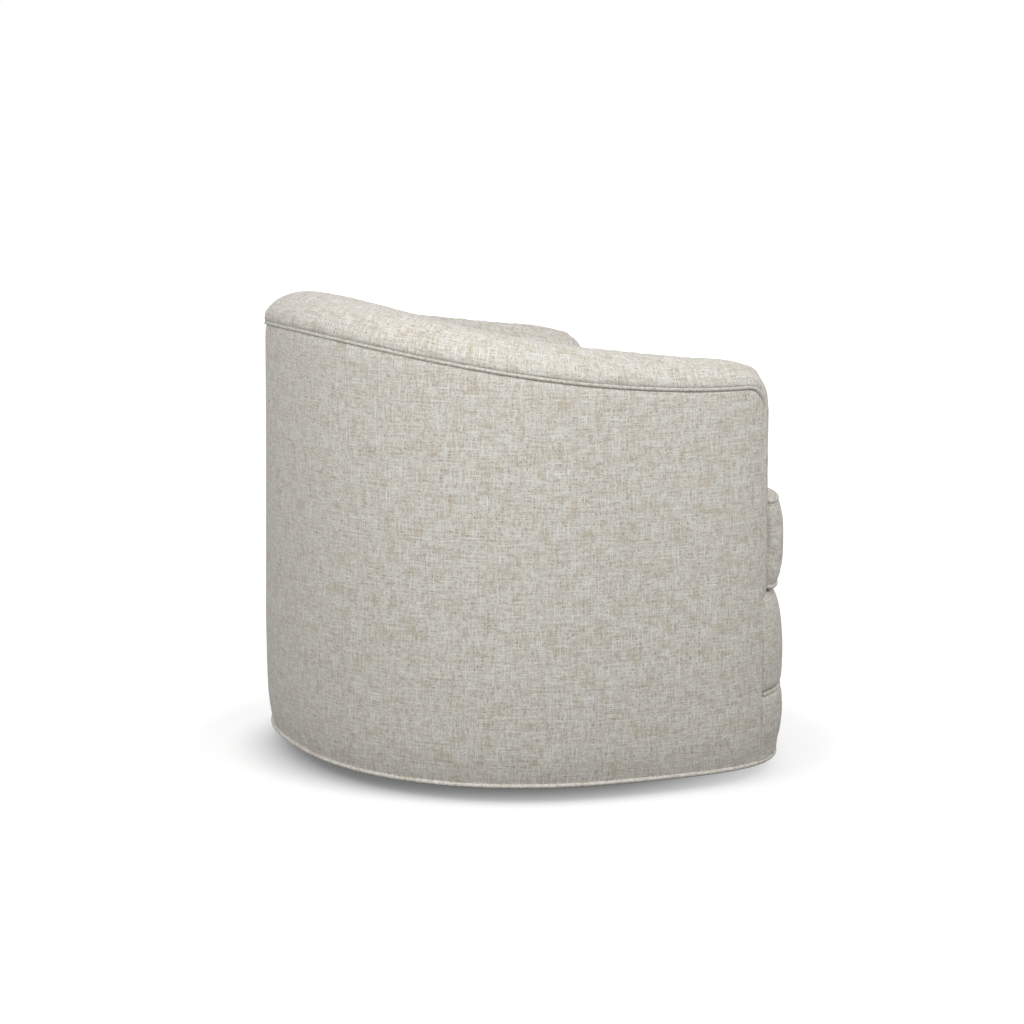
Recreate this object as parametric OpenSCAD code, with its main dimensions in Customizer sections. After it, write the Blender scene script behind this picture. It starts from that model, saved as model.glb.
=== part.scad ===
/* [Barrel plan] */
// Width of the body over its welts
body_w = 840; // [780:10:900]
// Depth from the widest line back to the rear welt
rear_depth = 383; // [350:1:420]
// Depth from the widest line forward to the front welt
front_depth = 319; // [305:1:335]
// Squareness of the rear half of the plan, 2 is an ellipse
rear_power = 2.33; // [2.1:0.01:2.6]
// Squareness of the front half of the plan
front_power = 3.47; // [3.2:0.01:3.7]
// How far the padded panels swell past the welts
belly = 4; // [2:0.5:7]

/* [Heights] */
// Height of the welt at the middle of the back
back_h = 657; // [630:1:700]
// Height of the welt along the arms
arm_h = 583; // [560:1:610]
// Rise of the padded roll above its welt
roll_rise = 47; // [40:1:56]
// Rise of the roll at the front end of an arm
roll_rise_front = 34; // [28:1:40]
// Height of the seat deck that carries the cushion
deck_h = 272; // [262:1:285]
// Height of the welt round the hem
hem_h = 24; // [22:0.5:26]
// Height of the welt across the front, under the padded rail
rail_welt_h = 129; // [110:1:150]

/* [Arms and back] */
// Distance from the widest line to the welt on the arm fronts
arm_reach = 213; // [205:1:222]
// Thickness of an arm at the widest line
arm_t = 135; // [128:1:140]
// Thickness of the middle of the back
back_t = 150; // [140:1:160]
// How much the inner face of an arm comes in towards the front
arm_toe_in = 33; // [25:1:38]
// How far the arm front pad swells forward of its welt
arm_front_swell = 17; // [14:1:20]
// Radius of the welt at the top front corner of an arm
corner_r = 35; // [28:1:40]
// Distance from the outer face to the crest of the roll
crest_in = 62; // [54:1:68]

/* [Upholstery] */
// Diameter of the welt cord in its fabric sleeve
welt_d = 7; // [6:0.5:8]
// Thickness of the padded outside panel
panel_t = 7; // [6:0.5:8]
// Thickness of the board behind the outside panel
board_t = 2.4; // [2:0.1:3]
// Thickness of a cover with its wadding
cover_t = 3; // [2.5:0.1:4]
// Thickness of the padding on the front rail
rail_pad_t = 12; // [10:0.5:14]
// Thickness of the black cloth under the seat
dust_cloth_t = 1; // [0.8:0.1:1.5]

/* [Seat cushion] */
// Height of the boxing between the two cushion welts
boxing_h = 128; // [110:1:140]
// Rise of the crown above the top welt
crown = 40; // [25:1:50]
// Distance over which the crown rises from the edge
crown_reach = 190; // [150:5:220]
// How far the front boxing swells past its welts
boxing_swell = 6; // [3:0.5:8]
// Space between the cushion and the arms and back
seat_gap = 4.5; // [4:0.1:6]

/* [Frame] */
// Thickness of the curved plywood rims and posts
rim_t = 30; // [26:1:32]
// Height of the bottom rim
bottom_rim_h = 60; // [50:1:70]
// Height of the top rim
top_rim_h = 38; // [30:1:45]
// Width of a post
post_w = 60; // [50:1:70]
// Thickness of the seat rails
rail_t = 25; // [20:1:28]
// Height of the side and rear seat rails
seat_rail_h = 60; // [50:1:70]
// Thickness of the plywood arm fronts
arm_board_t = 20; // [18:1:22]
// Width of the two rails that carry the swivel
swivel_rail_w = 60; // [50:1:70]
// Height of the two rails that carry the swivel
swivel_rail_h = 40; // [35:1:50]
// Number of sinuous springs
spring_count = 5; // [4:1:6]
// Distance between springs
spring_pitch = 92; // [80:1:95]
// Width across the bends of a spring
spring_w = 44; // [40:1:50]
// Diameter of the spring wire
wire_d = 3.8; // [3:0.1:4]
// Width of a webbing strip
web_w = 50; // [40:1:55]
// Thickness of the webbing
web_t = 1.5; // [1:0.1:2]

/* [Swivel base] */
// Length of the base bars, corner to corner
base_span = 540; // [480:10:560]
// Width of a base bar
bar_w = 38; // [32:1:42]
// Height of a base bar
bar_h = 18; // [16:1:18]
// Wall of a base bar
bar_wall = 2; // [1.5:0.1:2.5]
// Diameter of a glide
glide_d = 36; // [30:1:38]
// Height of a glide
glide_h = 8; // [6:0.5:8]
// Side of the square swivel plates
plate_w = 150; // [140:2:160]
// Thickness of the swivel plates
plate_t = 3; // [2.5:0.1:3.5]
// Distance from the centre to the plate bolts, along X and Y
bolt_place = 62; // [60:1:64]
// Radius of the ball track
track_r = 50; // [44:1:52]
// Diameter of a ball
ball_d = 8; // [7.5:0.1:8.5]
// Number of balls
ball_count = 24; // [12:1:28]
// Diameter of the king pin
pin_d = 12; // [10:0.5:14]
// Diameter of the plate bolts
bolt_d = 6; // [5:0.5:8]

/* [Hidden] */

$fn = 48;

// Clearances
fit_gap = 0.3;
run_gap = 0.05;
overrun = 1;

// The plan is drawn about the widest line, and then moved so that the body
// is centred on the swivel
widest_y = -(rear_depth - front_depth) / 2;
half_w = body_w / 2;
inner_half_w = half_w - arm_t;
inner_rear = rear_depth - back_t;
welt_r = welt_d / 2;

// Offset of the frame from the welt line: panel, board, then frame
frame_out = panel_t + board_t + 2 * fit_gap;
frame_in = frame_out + rim_t;
foam_out = frame_in + web_t + 2 * fit_gap;
board_out = panel_t + fit_gap;

// Stack of the swivel
bar_top = glide_h + bar_h;
lower_plate_top = bar_top + plate_t;
ball_sink = ball_d / 8;
plate_gap = ball_d - 2 * ball_sink;
upper_plate_z = lower_plate_top + plate_gap;
upper_plate_top = upper_plate_z + plate_t;

// Where the frame of the arms ends, behind the plywood arm fronts
cover_end = arm_reach - welt_r - fit_gap - cover_t;
arm_board_back = cover_end - fit_gap - arm_board_t;
frame_front = arm_board_back - fit_gap;

// Levels of the frame, from the hem up
hem_bottom = hem_h + welt_r + fit_gap;
hem_lip_t = 2.7;
hem_lip_w = 22;
frame_bottom = hem_bottom + hem_lip_t + fit_gap;
dust_cloth_z = frame_bottom - fit_gap - dust_cloth_t;
bottom_rim_top = frame_bottom + bottom_rim_h;
deck_t = 13;
spring_cloth_t = 1;
spring_cloth_z = deck_h - deck_t - fit_gap - spring_cloth_t;
clip_h = 6.5;
seat_rail_top = spring_cloth_z - fit_gap - clip_h;
foam_bottom = spring_cloth_z + spring_cloth_t + fit_gap;

// Radius of an even polar outline at an angle: a rounded square of power n
function squared_r(phi, a, b, n) =
  pow(pow(abs(cos(phi)) / a, n) + pow(abs(sin(phi)) / b, n), -1 / n);
function plan_depth(phi) = sin(phi) >= 0 ? rear_depth : front_depth;
function plan_power(phi) = sin(phi) >= 0 ? rear_power : front_power;

// Point of the welt line at an angle about the widest line, 90 is the back
function plan_xy(phi) =
  let (r = squared_r(phi, half_w, plan_depth(phi), plan_power(phi)))
  [r * cos(phi), r * sin(phi)];

function unit(v) = v / norm(v);

// Outward direction of the welt line at that point
function plan_out(phi) =
  let (p = plan_xy(phi), b = plan_depth(phi), n = plan_power(phi))
  unit([sign(p[0]) * pow(abs(p[0]) / half_w, n - 1) / half_w,
        sign(p[1]) * pow(abs(p[1]) / b, n - 1) / b]);
function plan_at(phi, out) = plan_xy(phi) + plan_out(phi) * out;

// Half width of the front half of the plan, at a distance forward
function side_x(ahead) = half_w * pow(1 - pow(ahead / front_depth, front_power), 1 / front_power);
// Half width between the arms, at a distance forward of the widest line
function inner_x(ahead) = inner_half_w - arm_toe_in * pow(min(1, ahead / arm_reach), 2);

// Angle of the welt line at a distance forward, on the right
function front_phi(ahead) = -atan2(ahead, side_x(ahead));

// A point of the plan, put in its place at a height
function placed(p, z) = [p[0], p[1] + widest_y, z];

// The welt climbs in a curve from the arms to the back
climb_start = arm_reach * 0.8;
function welt_line(y) =
  arm_h + (back_h - arm_h) * pow(max(0, (y + climb_start) / (rear_depth + climb_start)), 2);

// Height of an edge that runs beside the welt and turns down the arm front,
// apart from it by out
corner_y = -(arm_reach - corner_r);
function edge_z(y, out) =
  y >= corner_y ? welt_line(y) + out
  : welt_line(corner_y) - corner_r
    + sqrt(max(0, pow(corner_r + out, 2) - pow(y - corner_y, 2)));

// Crest of the roll, with its rounded end at the arm front
crest_corner_r = 45;
arm_front_y = -(arm_reach + arm_front_swell);
crest_corner_y = arm_front_y + crest_corner_r;
rise_start = 20;
function rise(y) =
  roll_rise - (roll_rise - roll_rise_front)
    * pow(min(1, max(0, (rise_start - y) / (arm_reach - welt_r))), 1.3);
function crest_z(y) =
  welt_line(y) + rise(y) - (y >= crest_corner_y ? 0
    : crest_corner_r - sqrt(max(0, pow(crest_corner_r, 2) - pow(y - crest_corner_y, 2))));

// A station of the barrel: its outer point, the way in, and its thickness
function arm_station(side, y) =
  [[side * side_x(-y), y], [-side, 0], side_x(-y) - inner_x(-y)];
function back_station(phi) =
  let (p = plan_xy(phi), q = squared_r(phi, inner_half_w, inner_rear, rear_power))
  [p, -unit(p), norm(p) - q];

// Stations from the right arm front round the back to the left arm front. Every
// layer of the barrel shares them, so that the layers nest, and ends at its own front
arm_mark_shares = [0.945, 0.9, 0.84, 0.72, 0.57, 0.38, 0.19];
back_step = 12;
function arm_places(front) = concat(
  [front], [for (s = arm_mark_shares) if (arm_reach * s < front - fit_gap) arm_reach * s]);
function barrel(front) =
  let (places = arm_places(front))
  concat(
    [for (d = places) arm_station(1, -d)],
    [for (phi = [0 : back_step : 180]) back_station(phi)],
    [for (i = [len(places) - 1 : -1 : 0]) arm_station(-1, -places[i])]);

function blend(a, b, t) = a * (1 - t) + b * t;

// Part of the right half of the barrel, between two places along it. A place is a
// count of stations: 0 at the arm front of the frame, and on towards the back. Each
// station of a stretch also has the height of the welt there
function station_at(stations, t) =
  let (i = min(len(stations) - 2, floor(t)), f = t - i, a = stations[i], b = stations[i + 1])
  [blend(a[0], b[0], f), blend(a[1], b[1], f), blend(a[2], b[2], f),
   blend(welt_line(a[0][1]), welt_line(b[0][1]), f)];
function stretch(from, to) =
  let (all = barrel(frame_front))
  concat([station_at(all, from)],
         [for (i = [floor(from) + 1 : ceil(to) - 1]) station_at(all, i)],
         [station_at(all, to)]);
// Place of the station at an angle of the back
function back_place(phi) = len(arm_places(frame_front)) + phi / back_step;

// Walls between rings of points joined in order. A piece that lies inside a skin
// splits its faces the other way, so that the two nest
function ring_walls(m, n, inside = false) =
  [for (i = [0 : m - 2]) for (j = [0 : n - 1])
    let (a = i * n + j, b = i * n + (j + 1) % n, c = b + n, d = a + n)
    each inside ? [[a, b, d], [b, c, d]] : [[a, b, c], [a, c, d]]];

function turned(list) = [for (i = [len(list) - 1 : -1 : 0]) list[i]];

// Rings joined in order, with flat ends, or with ends of several flat faces that
// are given as places along the ring
module loft(rings, inside = false, end_faces = []) {
  n = len(rings[0]);
  m = len(rings);
  faces = len(end_faces) > 0 ? end_faces : [[for (j = [0 : n - 1]) j]];
  ends = concat([for (f = faces) turned(f)], [for (f = faces) [for (j = f) (m - 1) * n + j]]);
  polyhedron(points = [for (r = rings) each r],
             faces = concat(ring_walls(m, n, inside), ends), convexity = 10);
}

// Rings joined in order, with ends that are fans about their middle
module fan_loft(rings) {
  n = len(rings[0]);
  m = len(rings);
  middles = [for (r = [rings[0], rings[m - 1]]) [for (q = r) 1 / n] * r];
  ends = [for (j = [0 : n - 1]) each
    [[(j + 1) % n, j, m * n], [(m - 1) * n + j, (m - 1) * n + (j + 1) % n, m * n + 1]]];
  polyhedron(points = concat([for (r = rings) each r], middles),
             faces = concat(ring_walls(m, n), ends), convexity = 10);
}

// Rings joined in order and the last to the first
module closed_loft(rings) {
  n = len(rings[0]);
  m = len(rings);
  polyhedron(
    points = [for (r = rings) each r],
    faces = [for (i = [0 : m - 1]) for (j = [0 : n - 1])
      let (k = (i + 1) % m, a = i * n + j, b = i * n + (j + 1) % n,
           c = k * n + (j + 1) % n, d = k * n + j)
      each [[a, b, c], [a, c, d]]],
    convexity = 10);
}

// The front board's back face ends just ahead of the arm boards
front_board_in = rail_pad_t + fit_gap + rail_t;
board_turn = -plan_out(front_phi(cover_end + front_board_in))[1];
board_angle = front_phi(cover_end + front_board_in * board_turn + 2 * fit_gap);

// Angles across the front, shared by the pieces there, and those up to an end angle
middle_marks = [-142, -137, -132, -126, -120, -112, -104, -96, -90,
                -84, -76, -68, -60, -54, -48, -43, -38];
front_marks = concat(
  [-180 - board_angle],
  [for (a = middle_marks) if (a > -178 - board_angle && a < board_angle - 2) a],
  [board_angle]);
function front_span(end) = concat(
  [-180 - end], [for (a = front_marks) if (a > -179 - end && a < end - 1) a], [end]);

// A ring of the barrel from points of distance in and height
function ring(st, profile) = [for (q = profile) placed(st[0] + st[1] * q[0], q[1])];

// A cord ring of a given number of sides, from a centre and an outward way
cord_sides = 6;
function cord_ring(centre, out) =
  [for (k = [0 : cord_sides - 1])
    let (a = 360 * k / cord_sides)
    centre + welt_r * (cos(a) * [out[0], out[1], 0] + sin(a) * [0, 0, 1])];
// The same ring where the cord runs up the front edge of an arm, tilted back
function upright_ring(centre, tilt) =
  [for (k = [0 : cord_sides - 1])
    let (a = 360 * k / cord_sides)
    centre + welt_r * [cos(a), -sin(a) * cos(tilt), sin(a) * sin(tilt)]];

// Steel swivel base

module base_tube(length, start) {
  translate([start, -bar_w / 2, glide_h])
    difference() {
      cube([length, bar_w, bar_h]);
      translate([-overrun, bar_wall, bar_wall])
        cube([length + 2 * overrun, bar_w - 2 * bar_wall, bar_h - 2 * bar_wall]);
    }
}

glide_place = base_span / 2 - glide_d / 2;
glide_screw_d = 6;
glide_screw_head_d = 14;
glide_screw_head_h = 2;
pin_head_d = 22;
pin_head_h = 3;
base_bolt_place = bolt_place * sqrt(2);
bolt_head_d = 11;
bolt_head_h = plate_gap / 2 - 0.5 * ball_sink;
nut_d = 10;
nut_h = 5;

// Holes of a bar: plate bolt in its top wall, glide screw in its bottom wall
module bar_holes() {
  translate([base_bolt_place, 0, bar_top - bar_wall - overrun])
    cylinder(d = bolt_d + fit_gap, h = bar_wall + 2 * overrun);
  translate([glide_place, 0, glide_h - overrun])
    cylinder(d = glide_screw_d + fit_gap, h = bar_wall + 2 * overrun);
}

module base_bar_long() {
  color("dimgray") rotate(45) difference() {
    base_tube(base_span, -base_span / 2);
    bar_holes();
    rotate(180) bar_holes();
    translate([0, 0, bar_top - bar_wall - overrun])
      cylinder(d = pin_head_d + fit_gap, h = bar_wall + 2 * overrun);
  }
}

module base_half_bar() {
  start = bar_w / 2;
  difference() {
    base_tube(base_span / 2 - start, start);
    bar_holes();
  }
}

module base_bar_left() { color("dimgray") rotate(135) base_half_bar(); }

module base_bar_right() { color("dimgray") rotate(-45) base_half_bar(); }

module each_corner() {
  for (k = [0 : 3]) rotate(45 + 90 * k) children();
}

// Nylon discs under the bar ends, with a countersunk pocket for the screw
module base_glides() {
  color("black") each_corner() translate([glide_place, 0, 0])
    difference() {
      union() {
        cylinder(d1 = glide_d - glide_h / 2, d2 = glide_d, h = glide_h / 4);
        translate([0, 0, glide_h / 4]) cylinder(d = glide_d, h = glide_h * 3 / 4);
      }
      translate([0, 0, -overrun])
        cylinder(d = glide_screw_head_d + 2 * fit_gap, h = glide_h / 2 + overrun);
      cylinder(d = glide_screw_d + fit_gap, h = glide_h + overrun);
    }
}

module glide_screws() {
  color("silver") each_corner() translate([glide_place, 0, 0]) {
    translate([0, 0, glide_h / 2 - glide_screw_head_h])
      cylinder(d = glide_screw_head_d, h = glide_screw_head_h);
    translate([0, 0, glide_h / 2])
      cylinder(d = glide_screw_d, h = glide_h / 2 + bar_wall + nut_h / 2);
  }
}

// Square plate with a ball track and its bolt holes, track upwards
module swivel_plate(hole_d) {
  track_sink = ball_sink + run_gap;
  difference() {
    translate([-plate_w / 2, -plate_w / 2, 0]) cube([plate_w, plate_w, plate_t]);
    translate([0, 0, plate_t + ball_d / 2 - track_sink])
      rotate_extrude() translate([track_r, 0]) circle(d = ball_d + 2 * run_gap);
    translate([0, 0, -overrun]) cylinder(d = hole_d, h = plate_t + 2 * overrun);
    for (x = [-1, 1]) for (y = [-1, 1])
      translate([x * bolt_place, y * bolt_place, -overrun])
        cylinder(d = bolt_d + fit_gap, h = plate_t + 2 * overrun);
  }
}

module swivel_lower_plate() {
  color("silver") translate([0, 0, bar_top]) swivel_plate(pin_d);
}

module swivel_upper_plate() {
  color("silver") translate([0, 0, upper_plate_top]) mirror([0, 0, 1])
    swivel_plate(pin_d + 2 * run_gap);
}

module base_bolts() {
  color("gainsboro") each_corner() translate([base_bolt_place, 0, 0]) {
    translate([0, 0, lower_plate_top]) cylinder(d = bolt_head_d, h = bolt_head_h);
    translate([0, 0, bar_top - bar_wall - nut_h])
      cylinder(d = bolt_d, h = plate_t + bar_wall + nut_h);
    translate([0, 0, bar_top - bar_wall - nut_h]) cylinder(d = nut_d, h = nut_h, $fn = 6);
  }
}

module king_pin() {
  color("gainsboro") {
    translate([0, 0, bar_top - pin_head_h]) cylinder(d = pin_head_d, h = pin_head_h);
    translate([0, 0, bar_top]) cylinder(d = pin_d, h = upper_plate_top + run_gap - bar_top);
    translate([0, 0, upper_plate_top + run_gap]) cylinder(d = pin_head_d, h = pin_head_h);
  }
}

cage_rim_w = 3;
cage_w = ball_d + 2 * cage_rim_w;
cage_t = 2.4;
ball_z = lower_plate_top - ball_sink + ball_d / 2;

module ball_cage() {
  color("ivory") difference() {
    translate([0, 0, ball_z - cage_t / 2]) difference() {
      cylinder(r = track_r + cage_w / 2, h = cage_t);
      translate([0, 0, -overrun]) cylinder(r = track_r - cage_w / 2, h = cage_t + 2 * overrun);
    }
    for (k = [0 : ball_count - 1]) rotate(360 * k / ball_count)
      translate([track_r, 0, ball_z - cage_t]) cylinder(d = ball_d + 2 * run_gap, h = 2 * cage_t);
  }
}

module swivel_balls() {
  color("silver") for (k = [0 : ball_count - 1])
    rotate(360 * k / ball_count) translate([track_r, 0, ball_z]) sphere(d = ball_d);
}

screw_depth = swivel_rail_h * 0.6;
module seat_screws() {
  color("gainsboro") for (x = [-1, 1]) for (y = [-1, 1])
    translate([x * bolt_place, y * bolt_place, 0]) {
      translate([0, 0, upper_plate_z - bolt_head_h]) cylinder(d = bolt_head_d, h = bolt_head_h);
      translate([0, 0, upper_plate_z]) cylinder(d = bolt_d, h = plate_t + screw_depth);
    }
}

// Wooden frame

function steps(from, to, count) = [for (k = [0 : count]) from + (to - from) * k / count];

// Area inside the welt line, moved out or in
plan_steps = 72;
module plan_area(out, z, h) {
  translate([0, widest_y, z]) linear_extrude(h)
    polygon([for (k = [0 : plan_steps - 1]) plan_at(360 * k / plan_steps, out)]);
}

// Section of an upright board at a station, from its outer face to its inner one
function board_ring(st, out, in, low, high) =
  ring(st, [[out, low], [out, high], [in, high], [in, low]]);

module bottom_rim(from, to) {
  loft([for (st = stretch(from, to))
    board_ring(st, frame_out, frame_in, frame_bottom, bottom_rim_top)]);
}

top_rim_drop = 22;
module top_rim(from, to) {
  loft([for (st = stretch(from, to))
    board_ring(st, frame_out, frame_in, st[3] - top_rim_drop - top_rim_h, st[3] - top_rim_drop)]);
}

// Places where the rims are joined, from the right arm front to the back
rim_joint = back_place(24);
rear_joint = back_place(72);
rear_end = back_place(108);
joint_gap = 0.05;
joint_step = 0.001;

module bottom_rim_arm_left() { color("burlywood") mirror([1, 0, 0]) bottom_rim(0, rim_joint); }
module bottom_rim_rear_left() {
  color("tan") mirror([1, 0, 0]) bottom_rim(rim_joint + joint_step, rear_joint);
}
module bottom_rim_rear() {
  color("burlywood") bottom_rim(rear_joint + joint_step, rear_end - joint_step);
}
module bottom_rim_rear_right() { color("tan") bottom_rim(rim_joint + joint_step, rear_joint); }
module bottom_rim_arm_right() { color("burlywood") bottom_rim(0, rim_joint); }

module top_rim_arm_left() { color("burlywood") mirror([1, 0, 0]) top_rim(0, rim_joint); }
module top_rim_rear_left() {
  color("tan") mirror([1, 0, 0]) top_rim(rim_joint + joint_step, rear_joint);
}
module top_rim_rear() {
  color("burlywood") top_rim(rear_joint + joint_step, rear_end - joint_step);
}
module top_rim_rear_right() { color("tan") top_rim(rim_joint + joint_step, rear_joint); }
module top_rim_arm_right() { color("burlywood") top_rim(0, rim_joint); }

// Upright between the rims, centred on an angle of the back
side_post_phi = 6;
rear_post_phi = 45;
module post(phi) {
  half = asin(post_w / 2 / norm(plan_xy(phi))) / back_step;
  loft([for (st = stretch(back_place(phi) - half, back_place(phi) + half))
    board_ring(st, frame_out, frame_in, bottom_rim_top + joint_gap,
               st[3] - top_rim_drop - top_rim_h - fit_gap)]);
}
module side_post_left() { color("wheat") mirror([1, 0, 0]) post(side_post_phi); }
module side_post_right() { color("wheat") post(side_post_phi); }
module rear_post_left() { color("wheat") mirror([1, 0, 0]) post(rear_post_phi); }
module rear_post_right() { color("wheat") post(rear_post_phi); }

// Outline of an arm across its thickness: how far each face is set in, and
// the level of its foot. The hidden face lies behind the outside panel
roll_angles = [0, 18, 36, 54, 72, 90];
inner_angles = [22.5, 45, 67.5, 90];
inner_drop = 95;
function arm_outline(st, foot, hidden, shown, inner, top, edge) =
  let (y = st[0][1], crest = crest_z(y) - top, mid = min(crest_in, st[2] * 0.5))
  concat(
    [[hidden, foot], [hidden, edge - fit_gap]],
    [for (a = roll_angles)
      [shown + (mid - shown) * (1 - cos(a)), edge + (crest - edge) * sin(a)]],
    [for (a = inner_angles)
      [mid + (st[2] - inner - mid) * sin(a), crest - inner_drop + inner_drop * cos(a)]],
    [[st[2] - inner, foot]]);

// Plywood front of an arm, notched at its foot round the seat rail
rail_inset = 3;
side_rail_out = inner_half_w - rail_inset;
module arm_board(side) {
  shrink = cover_t + 2 * fit_gap;
  loft([for (d = [arm_board_back + arm_board_t, arm_board_back + arm_board_t / 2, arm_board_back])
    let (st = arm_station(side, -d),
         line = arm_outline(st, foam_bottom, frame_out, frame_out, shrink, shrink,
                            edge_z(-d, -welt_r)))
    ring(st, concat(
      [[frame_out, frame_bottom]],
      [for (i = [2 : len(line) - 1]) line[i]],
      [[side_x(d) - side_rail_out - rim_t, foam_bottom],
       [side_x(d) - side_rail_out - rim_t, frame_bottom]]))]);
}
module arm_board_left() { color("wheat") mirror([1, 0, 0]) arm_board(1); }
module arm_board_right() { color("wheat") arm_board(1); }

// Curved board across the front, behind the padded rail
module front_rail_board() {
  color("tan") loft([for (phi = front_span(board_angle))
    front_ring(phi, [[-rail_pad_t - fit_gap, frame_bottom], [-rail_pad_t - fit_gap, seat_rail_top],
                     [-front_board_in, seat_rail_top], [-front_board_in, frame_bottom]])]);
}

// Area inside the frame: barrel stations behind, the front board ahead
module frame_well(z, h) {
  sides = barrel(frame_front);
  translate([0, widest_y, z]) linear_extrude(h) polygon(concat(
    [for (st = sides) st[0] + st[1] * (frame_in + fit_gap)],
    [for (phi = front_span(board_angle)) plan_at(phi, -front_board_in - fit_gap)]));
}

// The two rails that carry the swivel run from the front board to the rim
module swivel_rail(side) {
  difference() {
    intersection() {
      translate([side * bolt_place - swivel_rail_w / 2, -body_w / 2, upper_plate_top])
        cube([swivel_rail_w, body_w, swivel_rail_h]);
      frame_well(upper_plate_top, swivel_rail_h);
    }
    for (y = [-1, 1])
      translate([side * bolt_place, y * bolt_place, upper_plate_top - overrun])
        cylinder(d = bolt_d + 2 * run_gap, h = screw_depth + 2 * overrun);
  }
}
module swivel_rail_left() { color("burlywood") swivel_rail(-1); }
module swivel_rail_right() { color("burlywood") swivel_rail(1); }

module seat_side_rail(side) {
  intersection() {
    translate([side * (side_rail_out - rail_t / 2) - rail_t / 2, -body_w / 2,
               seat_rail_top - seat_rail_h])
      cube([rail_t, body_w, seat_rail_h]);
    frame_well(seat_rail_top - seat_rail_h, seat_rail_h);
  }
}
module seat_side_rail_left() { color("wheat") seat_side_rail(-1); }
module seat_side_rail_right() { color("wheat") seat_side_rail(1); }

rear_rail_y = inner_rear - rail_t;
module seat_rear_rail() {
  span = side_rail_out - rail_t - joint_gap;
  color("wheat") translate([-span, widest_y + rear_rail_y, seat_rail_top - seat_rail_h])
    cube([2 * span, rail_t, seat_rail_h]);
}

// Sinuous springs from the front board to the rear rail
spring_waves = 9;
wave_points = 6;
spring_z = seat_rail_top + clip_h / 2;
wire_sides = 4;
spring_fold = spring_w / 8;
clip_w = 20;
clip_depth = 16;
clip_t = 1.2;
function spring_front(x) = -(front_depth - front_board_in) * sqrt(1 - pow(x / half_w, 2));
function wire_point(x, t) =
  let (y0 = spring_front(x) - clip_depth / 2, y1 = rear_rail_y + clip_depth / 2)
  [x + spring_w / 2 * sin(360 * spring_waves * t),
   y0 + (y1 - y0) * t - spring_fold * sin(720 * spring_waves * t)];
module seat_springs() {
  last = spring_waves * wave_points;
  color("slategray") for (k = [0 : spring_count - 1]) {
    x = spring_pitch * (k - (spring_count - 1) / 2);
    loft([for (i = [0 : last])
      let (p = wire_point(x, i / last),
           ahead = wire_point(x, min(1, (i + 1) / last)),
           behind = wire_point(x, max(0, (i - 1) / last)),
           along = unit(ahead - behind),
           out = [along[1], -along[0]])
      [for (j = [0 : wire_sides - 1])
        let (a = 360 * j / wire_sides)
        placed(p + out * cos(a) * wire_d / 2, spring_z + sin(a) * wire_d / 2)]]);
  }
}

// Folded steel clips on the rails, round the ends of the springs
module spring_clip() {
  translate([-clip_w / 2, -clip_depth / 2, 0]) difference() {
    cube([clip_w, clip_depth, clip_h]);
    translate([-overrun, -overrun, clip_t])
      cube([clip_w + 2 * overrun, clip_depth - clip_t + overrun, clip_h - 2 * clip_t]);
  }
}
module spring_clips() {
  color("silver") for (k = [0 : spring_count - 1]) {
    x = spring_pitch * (k - (spring_count - 1) / 2);
    translate([x, widest_y + rear_rail_y + rail_t / 2, seat_rail_top]) spring_clip();
    translate([x, widest_y + spring_front(x) - rail_t / 2, seat_rail_top])
      rotate(180) spring_clip();
  }
}

// Webbing strips up the inside of the frame, between the posts
web_places = [0.8, 3.2, 5.2];
web_angles = [18, 30, 57, 68, 80];
web_start = bottom_rim_top - bottom_rim_h / 5;
module web_strip(place, half) {
  loft([for (st = stretch(place - half, place + half))
    board_ring(st, frame_in + fit_gap, frame_in + fit_gap + web_t, web_start,
               st[3] - top_rim_drop - top_rim_h / 2)]);
}
module web_pair(place, half) {
  web_strip(place, half);
  mirror([1, 0, 0]) web_strip(place, half);
}
module back_webbing() {
  color("peru") {
    for (place = web_places) web_pair(place, 0.55);
    for (phi = web_angles)
      web_pair(back_place(phi), asin(web_w / 2 / norm(plan_xy(phi))) / back_step);
  }
}

// Area between the arms and the back, run forward to the front
module well_area(in, z, h) {
  sides = barrel(cover_end);
  last = sides[0];
  edge = last[0] + last[1] * (last[2] + in);
  translate([0, widest_y, z]) linear_extrude(h) polygon(concat(
    [for (st = sides) st[0] + st[1] * (st[2] + in)],
    [[-edge[0], -front_depth], [edge[0], -front_depth]]));
}

// Area behind the front of the body, set back by in
module front_area(in, z, h) {
  translate([0, widest_y, z]) linear_extrude(h) polygon(concat(
    [for (phi = front_span(front_angle)) plan_at(phi, -in)],
    [[half_w, 0], [half_w, rear_depth], [-half_w, rear_depth], [-half_w, 0]]));
}

module spring_cloth() {
  color("khaki") intersection() {
    well_area(-rail_t / 2, spring_cloth_z, spring_cloth_t);
    front_area(rail_pad_t + 2 * fit_gap, spring_cloth_z, spring_cloth_t);
  }
}

rail_top_in = 60;
module seat_deck() {
  color("lightgray") intersection() {
    well_area(fit_gap, foam_bottom, deck_h - foam_bottom);
    front_area(rail_top_in + fit_gap, foam_bottom, deck_h - foam_bottom);
  }
}

module dust_cloth() {
  hole_r = plate_w / sqrt(2) + bar_wall * 4;
  color("black") difference() {
    plan_area(-hem_lip_w - welt_r, dust_cloth_z, dust_cloth_t);
    translate([0, 0, dust_cloth_z - overrun]) cylinder(r = hole_r, h = dust_cloth_t + 2 * overrun);
  }
}

// Outside panel

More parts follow.
